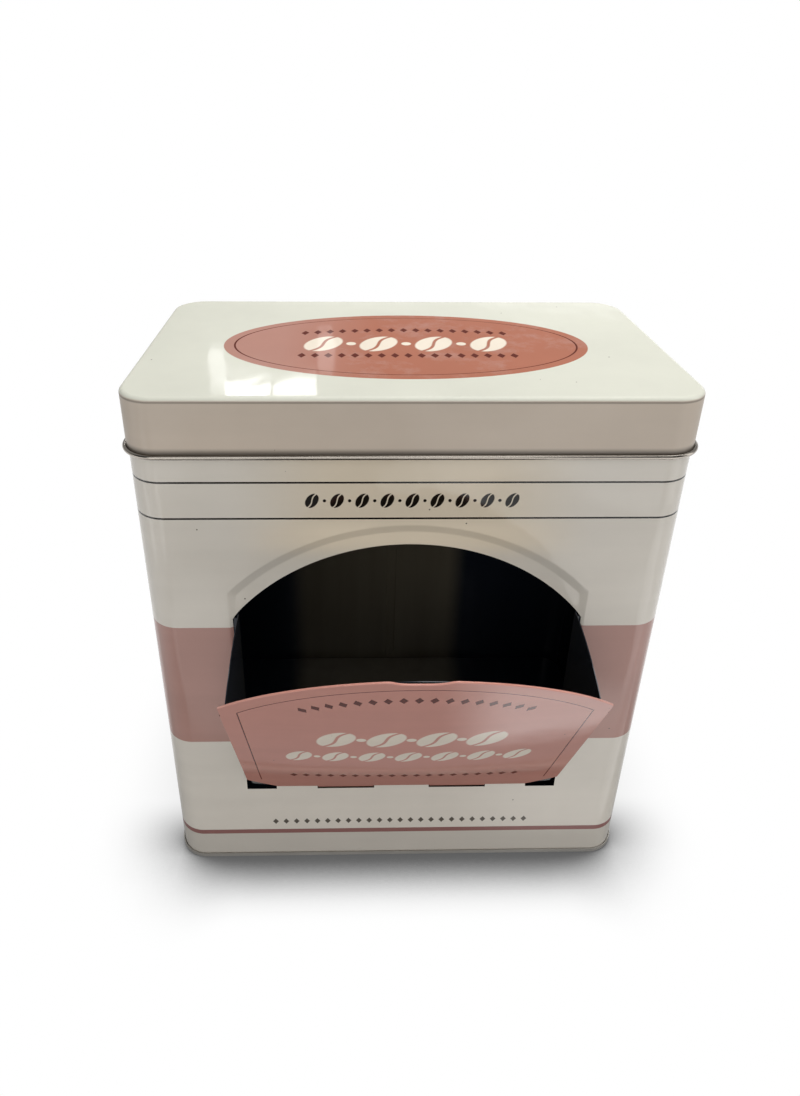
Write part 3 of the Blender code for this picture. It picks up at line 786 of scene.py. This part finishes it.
def wall_path():
    """Path round the wall apart from the flat front, with a groove where the seam closes."""
    half = SEAM_WIDTH / 2
    full = corner_path(WALL_WIDTH, WALL_DEPTH, WALL_CORNER)
    count = CORNER_STEPS + 1
    rear_right, rear_left, front_left, front_right = (full[i * count:(i + 1) * count] for i in range(4))
    across = WALL_WIDTH / 2 - WALL_CORNER
    rear = [(x, REAR) for x in spread(across, half + SEAM_EASE, 6)[1:] + [half + SEAM_GROOVE_HALF]]
    rear.append((half, REAR - SEAM_GROOVE))
    rear += [(x, REAR) for x in [half - SEAM_GROOVE_HALF] + spread(half - SEAM_EASE, -across, 8)[:-1]]
    rear = [(Vector(point), Vector((0, 1))) for point in rear]
    deep = WALL_DEPTH / 2 - WALL_CORNER
    right, left = ([(Vector((side * WALL_WIDTH / 2, CENTRE_Y + side * y)), Vector((side, 0)))
                    for y in spread(-deep, deep, 6)[1:-1]] for side in (1, -1))
    return front_right + right + rear_right + rear + rear_left + left + front_left


class TIN_OT_wall(bpy.types.Operator):
    """Build the wrap-round wall with its pressed recess, mouth, knuckles, curl and seam."""

    bl_idname = "tin.wall"
    bl_label = "Wall"

    def execute(self, context):
        scene = context.scene
        sheet = SheetMetal()
        # Outlines from the mouth outwards: up the pressed slope, then across the flat front
        levels = (1 + SHOULDER, 1.0, 1 - SHOULDER, 0.5, SHOULDER, 0.0, -SHOULDER, -0.6)
        rings = [mouth_ring()] + [recess_ring(level) for level in levels]
        edge = border_ring()
        rings.append([((a[0] + b[0]) / 2, (a[1] + b[1]) / 2) for a, b in zip(rings[-1], edge)])
        rings.append(edge)
        sheet.grid([[front_pair(x, z) for x, z in ring] for ring in rings], closed=True)

        path = wall_path()
        sheet.grid([swept_row(path, (0, z), (-SHEET, z)) for z in border_heights()])
        top = [(Vector((x, FRONT)), Vector((0, -1))) for x in reversed(border_tops())]
        middle = (-WALL_CURL, WALL_TOP)
        outer = arc(middle, WALL_CURL, 0, WALL_CURL_TURN, CURL_STEPS)
        inner = arc(middle, WALL_CURL - SHEET, 0, WALL_CURL_TURN, CURL_STEPS)
        curl = [swept_row(path + top, front, back) for front, back in zip(outer, inner)]
        sheet.grid(curl, closed=True)

        axis = (HINGE.y, HINGE.z)
        outer = [(FRONT, SILL)] + arc(axis, KNUCKLE, math.pi, -KNUCKLE_TURN, CURL_STEPS)
        inner = [(FRONT + SHEET, SILL)] + arc(axis, KNUCKLE - SHEET, math.pi, -KNUCKLE_TURN, CURL_STEPS)
        marks = sill_levels()
        # The three tongues lie between every other pair of stops, clear of the door's tabs
        for stop in (1, 3, 5):
            span = marks[stop * SILL_STEPS:(stop + 1) * SILL_STEPS + 1]
            sheet.grid([[((x, *front), (x, *back)) for x in span] for front, back in zip(outer, inner)])

        inks = scene.tin_colours
        bare_tinplate("cold_rolled_bare_tinplate", inks.steel)
        sheared = bare_tinplate("sheared_tinplate_edge", inks.sheared)
        black = black_lacquer("roller_coated_black_lacquer", inks.lacquer, inks.painted_light_lacquer)
        wall = sheet.build("wall_sheet", [wall_print(scene), black, sheared])
        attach(wall, "tin")
        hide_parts("body_wall")
        ridge = self.lock_seam(black)
        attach(ridge, "tin")
        return {"FINISHED"}

    def lock_seam(self, black):
        """Low smooth ridge inside the rear wall, where its two ends are folded into each other."""
        low = BASE_RECESS + SHEET + FIT_GAP
        high = WALL_TOP - WALL_CURL - SEAM_TOP_GAP
        back, inside = REAR - SHEET / 2, REAR - SHEET
        half = SEAM_WIDTH / 2
        outline = [(half, back), (half, inside)]
        for turn in spread(0, math.pi, SEAM_STEPS)[1:-1]:
            outline.append((half * math.cos(turn) ** 3, inside - SEAM_RISE * math.sin(turn) ** 0.7))
        outline += [(-half, inside), (-half, back)]
        seam = bmesh.new()
        rings = [[seam.verts.new((x, y, z)) for x, y in outline] for z in (low, high)]
        close_rings(seam, rings)
        return finish_mesh("lock_seam", seam, [black])


class TIN_OT_base(bpy.types.Operator):
    """Build the base panel with its rim folded round the wall's foot."""

    bl_idname = "tin.base"
    bl_label = "Base"

    def execute(self, context):
        leg = -SHEET - FIT_GAP
        upper = (leg - SHEET - BASE_BEND, BASE_RECESS - BASE_BEND)
        inner = (leg - SHEET + RIM_BEND, RIM_BEND)
        outer = (RIM_REACH - RIM_BEND, RIM_BEND)
        half = math.pi / 2
        fronts, backs = [], []
        for radius, rows in ((0, fronts), (SHEET, backs)):
            rows += arc(upper, BASE_BEND + radius, half, -half, BEND_STEPS)
            rows += arc(inner, RIM_BEND - radius, math.pi, half, BEND_STEPS)
            rows += arc(outer, RIM_BEND - radius, -half, half, BEND_STEPS)
            rows.append((RIM_REACH - radius, RIM_HEIGHT))
        path = corner_path(WALL_WIDTH, WALL_DEPTH, WALL_CORNER)
        # Painted reflection: a paler, duller copy of the bare tinplate on the base rim, for the bright floor
        # it reflects
        rim_steel = context.scene.tin_colours.rim_steel
        steel = bare_tinplate("dull_pale_rim_tinplate", rim_steel, low_gloss=0.5, high_gloss=0.65)
        base = profile_sheet("base_rim", path, fronts, backs, [steel, steel, steel], True)
        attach(base, "tin")
        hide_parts("base_panel")
        return {"FINISHED"}


class TIN_OT_floor_tray(bpy.types.Operator):
    """Build the raised black floor that the capsules stand on."""

    bl_idname = "tin.floor_tray"
    bl_label = "Floor tray"

    def execute(self, context):
        outset = -SHEET - SEAM_DEPTH - FIT_GAP
        centre = (outset - FLOOR_BEND, FLOOR_HEIGHT - FLOOR_BEND)
        foot = BASE_RECESS + SHEET + FIT_GAP
        fronts = arc(centre, FLOOR_BEND, math.pi / 2, -math.pi / 2, EDGE_STEPS) + [(outset, foot)]
        backs = arc(centre, FLOOR_BEND - SHEET, math.pi / 2, -math.pi / 2, EDGE_STEPS)
        backs.append((outset - SHEET, foot))
        path = corner_path(WALL_WIDTH, WALL_DEPTH, WALL_CORNER)
        black = bpy.data.materials["roller_coated_black_lacquer"]
        steel = bpy.data.materials["cold_rolled_bare_tinplate"]
        tray = profile_sheet("raised_floor", path, fronts, backs, [black, black, steel], True)
        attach(tray, "tin")
        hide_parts("floor_tray")
        return {"FINISHED"}


class TIN_OT_lid(bpy.types.Operator):
    """Build the slip lid with its rounded edge, skirt and outward curl."""

    bl_idname = "tin.lid"
    bl_label = "Lid"

    def execute(self, context):
        centre = (-LID_EDGE, LID_HIGH.z - LID_EDGE)
        wire = (LID_CURL - SHEET, LID_LOW.z + LID_CURL)
        half = math.pi / 2
        fronts = arc(centre, LID_EDGE, half, -half, EDGE_STEPS)
        backs = arc(centre, LID_EDGE - SHEET, half, -half, EDGE_STEPS)
        fronts += arc(wire, LID_CURL - SHEET, math.pi, LID_CURL_TURN, CURL_STEPS)
        backs += arc(wire, LID_CURL, math.pi, LID_CURL_TURN, CURL_STEPS)
        steel = bpy.data.materials["cold_rolled_bare_tinplate"]
        path = corner_path(LID_WIDTH, LID_DEPTH, LID_CORNER)
        finishes = [lid_print(context.scene), steel, steel]
        lid = profile_sheet("slip_lid", path, fronts, backs, finishes, True)
        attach(lid, "lid")
        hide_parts("lid")
        return {"FINISHED"}


def hang_on_hinge(piece):
    """Turn a door piece, made about the hinge axis, to the door's open pose."""
    piece.data.transform(Matrix.Translation(HINGE) @ Matrix.Rotation(OPEN_ANGLE, 4, "X"))
    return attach(piece, "door")


def door_top(across):
    """Height of the door's arched edge, with the shallow finger grip in its middle."""
    height = DOOR_ARC + math.sqrt(DOOR_RADIUS ** 2 - across ** 2)
    share = min(abs(across) / GRIP_HALF, 1.0)
    return height - GRIP_DEPTH * (1 - share ** 4) ** 2


def door_bottom(across):
    """Height of the door's lower edge, which rises towards both corners."""
    share = max(abs(across) - DOOR_CHAMFER_START, 0) / (DOOR_FOOT_HALF - DOOR_CHAMFER_START)
    return DOOR_FOOT + DOOR_CHAMFER_RISE * share


def door_bulge(across, height):
    """How far the printed side stands in front of the hinge axis."""
    share = max(1 - (across / DOOR_FOOT_HALF) ** 2, 0)
    rise = min(max(height, 0.0) / DOOR_ARC, 1.0)
    return KNUCKLE + DOOR_CROWN * share * math.sin(rise * math.pi / 2)


def door_pair(across, height):
    """Pair of points of the door's sheet."""
    out = door_bulge(across, height)
    return (across, -out, height), (across, SHEET - out, height)


def hem_pairs(flange):
    """Offsets of a hem, (beyond the edge, behind the face) for the two sides of the sheet."""
    pairs = []
    thin = HEM_ROUND - SHEET
    for angle in spread(0, math.pi, HEM_STEPS)[1:]:
        turned = (math.sin(angle), 1 - math.cos(angle))
        pairs.append(((HEM_ROUND * turned[0], HEM_ROUND * turned[1]),
                      (thin * turned[0], SHEET + thin * turned[1])))
    pairs.append(((-flange, 2 * HEM_ROUND), (-flange, 2 * HEM_ROUND - SHEET)))
    return pairs


class TIN_OT_door_face(bpy.types.Operator):
    """Build the printed door with its hems, finger grip and curled tabs."""

    bl_idname = "tin.door_face"
    bl_label = "Door face"

    def execute(self, context):
        sheet = SheetMetal()
        side = DOOR_FOOT_HALF - HEM_ROUND
        marks = [0.0]
        stops = (GRIP_HALF, TAB_INNER, TAB_OUTER, DOOR_CHAMFER_START, side)
        for stop, count in zip(stops, (10, 2, 12, 8, 8)):
            marks += spread(marks[-1], stop, count)[1:]
        marks = [-x for x in reversed(marks[1:])] + marks
        columns = []
        for foot in marks:
            top = foot * (DOOR_TOP_HALF - HEM_ROUND) / side if abs(foot) > DOOR_CHAMFER_START else foot
            low, high = door_bottom(foot), door_top(top) - HEM_ROUND
            column = []
            for height in spread(low, high, DOOR_ROWS):
                across = foot + (top - foot) * (height - low) / (high - low)
                column.append(door_pair(across, height))
            across, out = column[-1][0][0], -column[-1][0][1]
            for (front_up, front_in), (back_up, back_in) in hem_pairs(HEM_FLANGE):
                column.append(((across, front_in - out, high + front_up),
                               (across, back_in - out, high + back_up)))
            columns.append(column)
        sheet.grid(columns)

        for edge, sign in ((columns[0], -1), (columns[-1], 1)):
            rows = []
            for (x, y, z), back in edge[:DOOR_ROWS + 1]:
                if z > edge[DOOR_ROWS][0][2] - HEM_START:
                    break
                row = [((x, y, z), back)]
                for (front_out, front_in), (back_out, back_in) in hem_pairs(HEM_SIDE_FLANGE):
                    row.append(((x + sign * front_out, y + front_in, z),
                                (x + sign * back_out, y + back_in, z)))
                rows.append(row)
            sheet.grid(rows)

        outer = arc((0, 0), KNUCKLE, math.pi, KNUCKLE_TURN, CURL_STEPS)
        inner = arc((0, 0), KNUCKLE - SHEET, math.pi, KNUCKLE_TURN, CURL_STEPS)
        for sign in (-1, 1):
            span = [x for x in marks if TAB_INNER - WELD < sign * x < TAB_OUTER + WELD]
            rows = [[door_pair(x, DOOR_FOOT) for x in span]]
            rows += [[((x, *front), (x, *back)) for x in span] for front, back in zip(outer, inner)]
            sheet.grid(rows)
        sheared = bpy.data.materials["sheared_tinplate_edge"]
        black = bpy.data.materials["roller_coated_black_lacquer"]
        door = sheet.build("door_front", [door_print(context.scene), black, sheared])
        hang_on_hinge(door)
        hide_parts("door_face")
        return {"FINISHED"}


def stop_angle():
    """Angle from the door's plane back to the stop lugs' front."""
    return OPEN_ANGLE + math.asin(FIT_GAP / STOP_INNER_RADIUS)


class TIN_OT_door_liner(bpy.types.Operator):
    """Build the black inner panel with its two cheeks and stop lugs."""

    bl_idname = "tin.door_liner"
    bl_label = "Door liner"

    def execute(self, context):
        sheet = SheetMetal()
        edge = CHEEK_OUTER - CHEEK_BEND
        marks = spread(-edge, edge, LINER_COLUMNS)
        radii = spread(CHEEK_FOOT, STOP_INNER_RADIUS, LINER_ROWS)
        radii += spread(STOP_INNER_RADIUS, STOP_OUTER_RADIUS, LUG_ROWS)[1:] + [CHEEK_RADIUS]
        columns = []
        drop = DOOR_ARC + math.sqrt(LINER_RADIUS ** 2 - edge ** 2) - CHEEK_RADIUS
        for x in marks[1:-1]:
            high = DOOR_ARC + math.sqrt(LINER_RADIUS ** 2 - x ** 2) - drop * (x / edge) ** 8
            scale = (high - LINER_FOOT) / (CHEEK_RADIUS - CHEEK_FOOT)
            columns.append([LINER_FOOT + (radius - CHEEK_FOOT) * scale for radius in radii])
        columns = [radii] + columns + [radii]
        columns = [[((x, LINER_Y, z), (x, LINER_Y + SHEET, z)) for z in heights]
                   for x, heights in zip(marks, columns)]
        sheet.grid(columns)
        thin = CHEEK_BEND - SHEET
        inward = (0, SHEET * math.cos(stop_angle()), -SHEET * math.sin(stop_angle()))
        for sign, start in ((-1, columns[0]), (1, columns[-1])):
            rows = []
            for radius, pair in zip(radii, start):
                height = pair[0][2]
                row = [pair]
                for angle in spread(0, math.pi / 2, CHEEK_BEND_STEPS)[1:]:
                    out, back = math.sin(angle), 1 - math.cos(angle)
                    row.append(((sign * (edge + CHEEK_BEND * out), LINER_Y + CHEEK_BEND * back, height),
                                (sign * (edge + thin * out), LINER_Y + SHEET + thin * back, height)))
                angles = spread(math.atan2(LINER_Y + CHEEK_BEND, height), stop_angle(), CHEEK_STEPS)
                lengths = spread(math.hypot(LINER_Y + CHEEK_BEND, height), radius, CHEEK_STEPS)
                for angle, length in list(zip(angles, lengths))[1:]:
                    y, z = length * math.sin(angle), length * math.cos(angle)
                    row.append(((sign * CHEEK_OUTER, y, z), (sign * (CHEEK_OUTER - SHEET), y, z)))
                front, back = row[-1]
                row[-1] = (front, tuple(place + step for place, step in zip(back, inward)))
                rows.append(row)
            sheet.grid(rows)
            lugs = []
            outs = [sign * out for out in spread(CHEEK_OUTER, STOP_OUTER, LUG_STEPS)[1:]]
            for row in rows[LINER_ROWS:LINER_ROWS + LUG_ROWS + 1]:
                front, back = row[-1]
                lugs.append([(front, back)] + [((x, *front[1:]), (x, *back[1:])) for x in outs])
            sheet.grid(lugs)
        full = context.scene.tin_colours.lacquer
        black = black_lacquer("double_coated_black_lacquer", full, full)
        liner = sheet.build("door_lining", [black, black, black])
        hang_on_hinge(liner)
        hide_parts("door_liner")
        return {"FINISHED"}


class TIN_OT_hinge_wire(bpy.types.Operator):
    """Build the straight hinge wire with its domed ends."""

    bl_idname = "tin.hinge_wire"
    bl_label = "Hinge wire"

    def execute(self, context):
        shape = bmesh.new()
        rings = []
        dome = WIRE_RADIUS / 2
        turned = arc((dome - WIRE_HALF, WIRE_RADIUS - dome), dome, math.pi, -math.pi / 2, DOME_STEPS)
        for x, radius in turned + [(-x, radius) for x, radius in reversed(turned)]:
            circle = arc((HINGE.y, HINGE.z), radius, 0, 2 * math.pi, WIRE_STEPS)[:-1]
            rings.append([shape.verts.new((x, *point)) for point in circle])
        close_rings(shape, rings)
        steel = bare_tinplate("drawn_steel_wire", context.scene.tin_colours.steel)
        pin = finish_mesh("hinge_pin", shape, [steel])
        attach(pin, "tin")
        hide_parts("hinge_wire")
        return {"FINISHED"}


# Lamps: place, the point that they look at, width and height, and power in watts
LAMPS = {
    "overhead_softbox": ((0.15, 0.15, 0.9), (0.02, 0.04, 0.2), (0.7, 0.6), 4.5),
    "front_fill": ((-0.3, -1.7, 0.75), (0.0, 0.0, 0.12), (1.6, 1.2), 12.8),
    "high_front": ((0.1, -1.1, 1.6), (0.0, -0.03, 0.12), (1.4, 0.8), 2.8),
    "right_strip": ((1.0, -0.1, 0.5), (0.05, 0.03, 0.12), (0.4, 0.9), 2.0),
    "rear_fill": ((0.5, 1.9, 0.5), (0.0, 0.0, 0.1), (2.0, 0.5), 4.0),
    "window_left_pane": ((-0.209, 1.0, 0.636), (-0.05, 0.0, 0.226), (0.078, 0.038), 0.115),
    "window_right_pane": ((-0.124, 1.0, 0.638), (-0.05, 0.0, 0.226), (0.074, 0.030), 0.085),
    "window_edge": ((-0.256, 1.0, 0.600), (-0.07, 0.0, 0.226), (0.026, 0.075), 0.022),
    "doorway": ((-0.067, 1.0, 0.573), (-0.03, 0.0, 0.226), (0.026, 0.075), 0.012),
}


class TIN_OT_studio(bpy.types.Operator):
    """Build the pale floor, the soft lights and the camera."""

    bl_idname = "tin.studio"
    bl_label = "Studio"

    def execute(self, context):
        scene = context.scene
        scene.view_settings.view_transform = "Standard"
        shape = bmesh.new()
        bmesh.ops.create_grid(shape, x_segments=8, y_segments=8, size=4.0)
        mesh = bpy.data.meshes.new("studio_floor")
        shape.to_mesh(mesh)
        shape.free()
        mesh.materials.append(self.floor_paper())
        self.place_in(scene, "studio_floor", mesh)
        scene.world = self.sky()
        for name, (place, aim, size, power) in LAMPS.items():
            light = bpy.data.lights.new(name, "AREA")
            light.shape = "RECTANGLE"
            light.size, light.size_y = size
            light.energy = power
            lamp = self.place_in(scene, name, light)
            lamp.location = place
            lamp.rotation_euler = (Vector(aim) - Vector(place)).to_track_quat("-Z", "Y").to_euler()
        # The camera was fitted to the photo's edges, corners and printed lines
        lens = bpy.data.cameras.new("photo_camera")
        lens.lens = 25.341
        lens.shift_x = 0.02679
        lens.shift_y = -0.08942
        lens.clip_start = 0.01
        camera = self.place_in(scene, "photo_camera", lens)
        camera.location = (-0.02074, CENTRE_Y - 0.290745, 0.323503)
        camera.rotation_euler = [math.radians(turn) for turn in (63.4387, -0.5214, -1.1895)]
        scene.camera = camera
        return {"FINISHED"}

    def place_in(self, scene, name, data):
        """Make an object of the data and link it to the scene."""
        made = bpy.data.objects.new(name, data)
        scene.collection.objects.link(made)
        return made

    def shown_to(self, tree):
        """Masks of the rays that see a backdrop: (glossy rays alone, all rays that see it)."""
        path = add(tree, "LightPath", {})
        glossy = path.outputs["Is Glossy Ray"]
        seen = add(tree, "Math", {0: path.outputs["Is Camera Ray"], 1: glossy}, operation="MAXIMUM")
        seen = add(tree, "Math", {0: seen, 1: path.outputs["Is Transmission Ray"]}, operation="MAXIMUM")
        return glossy, seen

    def floor_paper(self):
        """Matt white paper: even, with the soft shadow of what stands on it."""
        made, tree, place = start_material("matt_white_backdrop_paper")
        across, along, _ = add(tree, "SeparateXYZ", {0: place}).outputs
        aside = add(tree, "Math", {0: across}, operation="ABSOLUTE")
        # Each zone eases between two values from one place on the floor to another
        zones = {
            "reach": (aside, 0.07, 0.10, 0.036, 0.050),
            "before": (along, FRONT + 0.032, FRONT, 0.15, 1.0),
            "behind": (along, REAR - 0.02, REAR + 0.01, 0.0, 1.0),
            "right": (across, 0.02, 0.065, 0.0, 1.0),
            "outward": (along, FRONT - 0.006, FRONT - 0.018, 0.0, 1.0),
            "beside": (aside, 0.12, 0.30, 0.0, 1.0),
            "past": (along, FRONT, FRONT + 0.08, 0.0, 1.0),
            "away": (along, FRONT - 0.05, FRONT - 0.09, 0.0, 1.0),
        }
        for name, values in zones.items():
            settings = dict(zip(("Value", "From Min", "From Max", "To Min", "To Max"), values))
            zones[name] = add(tree, "MapRange", settings, interpolation_type="SMOOTHSTEP")

        contact = add(tree, "AmbientOcclusion", {"Distance": zones["reach"]}, samples=32).outputs["AO"]
        depth = add(tree, "MapRange", {"Value": contact, "From Min": 0.52, "From Max": 0.98,
                                       "To Min": 0.89, "To Max": 0.0}, interpolation_type="SMOOTHSTEP")
        weight = add(tree, "Math", {0: zones["before"], 1: zones["behind"]}, operation="MAXIMUM")
        dark = add(tree, "Math", {0: weight, 1: depth}, operation="MULTIPLY")
        shade = add(tree, "Math", {0: 1.0, 1: dark}, operation="SUBTRACT")

        # Gloss shows the floor darker close in front of the tin, as its shadow and the room do; it is
        # brighter to the right, at the sides and behind, with patches farther out, as painted reflections of
        # daylight
        bright = add(tree, "Math", {0: zones["right"], 1: zones["outward"]}, operation="MULTIPLY")
        for name in ("beside", "past"):
            bright = add(tree, "Math", {0: bright, 1: zones[name]}, operation="MAXIMUM")
        bright = add(tree, "MapRange", {"Value": bright, "To Min": 0.28, "To Max": 1.2})
        glow_patch_noise = add(tree, "TexNoise", {"Vector": place, "Scale": per(181.8),
                                         "Detail": 1.0, "Roughness": 0.3})
        patches = add(tree, "MapRange", {"Value": glow_patch_noise, "From Min": 0.47, "From Max": 0.53,
                                         "To Max": 0.8}, interpolation_type="SMOOTHSTEP")
        bright = add(tree, "Math", {0: patches, 1: zones["away"], 2: bright}, operation="MULTIPLY_ADD")

        grain = add(tree, "TexNoise", {"Vector": place, "Scale": per(0.6667)})
        shader = tree.nodes["Principled BSDF"]
        wire(tree, shader, {
            "Base Color": (*linear("B0B1B3"), 1.0), "Roughness": 0.9, "Specular IOR Level": 0.1,
            "Normal": add(tree, "Bump", {"Strength": 0.1, "Distance": 0.00005, "Height": grain})})
        glossy, seen = self.shown_to(tree)
        glow = add(tree, "Emission", {"Strength": add(tree, "Mix", {0: glossy, 2: shade, 3: bright})})
        wire(tree, tree.nodes["Material Output"], {0: add(tree, "MixShader", {0: seen, 1: shader, 2: glow})})
        return made

    def sky(self):
        """Plain pale surroundings: white where they are seen, and a dim room in gloss."""
        world = bpy.data.worlds.new("studio_world")
        world.use_nodes = True
        tree = world.node_tree
        glossy, seen = self.shown_to(tree)
        toward = add(tree, "TexCoord", {}).outputs["Generated"]
        toward = add(tree, "SeparateXYZ", {0: toward}).outputs["Y"]
        room = add(tree, "MapRange", {"Value": toward, "From Min": -0.35, "From Max": 0.35,
                                      "To Min": 0.10, "To Max": 0.45}, interpolation_type="SMOOTHSTEP")
        shown = add(tree, "Mix", {0: glossy, 2: seen, 3: room})
        wire(tree, tree.nodes["Background"], {
            "Color": (1.0, 1.0, 1.0, 1.0), "Strength": add(tree, "Mix", {0: seen, 2: 0.19, 3: shown})})
        return world


class TIN_PT_panel(bpy.types.Panel):
    """List the pieces of the tin with their sizes and colours."""

    bl_idname = "TIN_PT_panel"
    bl_label = "Capsule Tin"
    bl_space_type = "VIEW_3D"
    bl_region_type = "UI"
    bl_category = "Capsule Tin"

    def draw(self, context):
        layout = self.layout
        for group in (context.scene.tin_print, context.scene.tin_colours):
            box = layout.box()
            for name in group.__annotations__:
                box.prop(group, name)
        for step in STEPS:
            layout.operator(step.bl_idname)


STEPS = (TIN_OT_wall, TIN_OT_base, TIN_OT_floor_tray, TIN_OT_lid, TIN_OT_door_face,
         TIN_OT_door_liner, TIN_OT_hinge_wire, TIN_OT_studio)
CLASSES = (TinPrint, TinColours) + STEPS + (TIN_PT_panel,)


def register():
    """Register the classes and hang the settings on the scene."""
    for item in CLASSES:
        bpy.utils.register_class(item)
    bpy.types.Scene.tin_print = bpy.props.PointerProperty(type=TinPrint)
    bpy.types.Scene.tin_colours = bpy.props.PointerProperty(type=TinColours)


def unregister():
    """Take the settings off the scene and unregister the classes."""
    del bpy.types.Scene.tin_colours
    del bpy.types.Scene.tin_print
    for item in reversed(CLASSES):
        bpy.utils.unregister_class(item)


def main():
    """Build every piece in order."""
    register()
    bpy.ops.tin.wall()
    bpy.ops.tin.base()
    bpy.ops.tin.floor_tray()
    bpy.ops.tin.lid()
    bpy.ops.tin.door_face()
    bpy.ops.tin.door_liner()
    bpy.ops.tin.hinge_wire()
    bpy.ops.tin.studio()


if __name__ == "__main__":
    main()
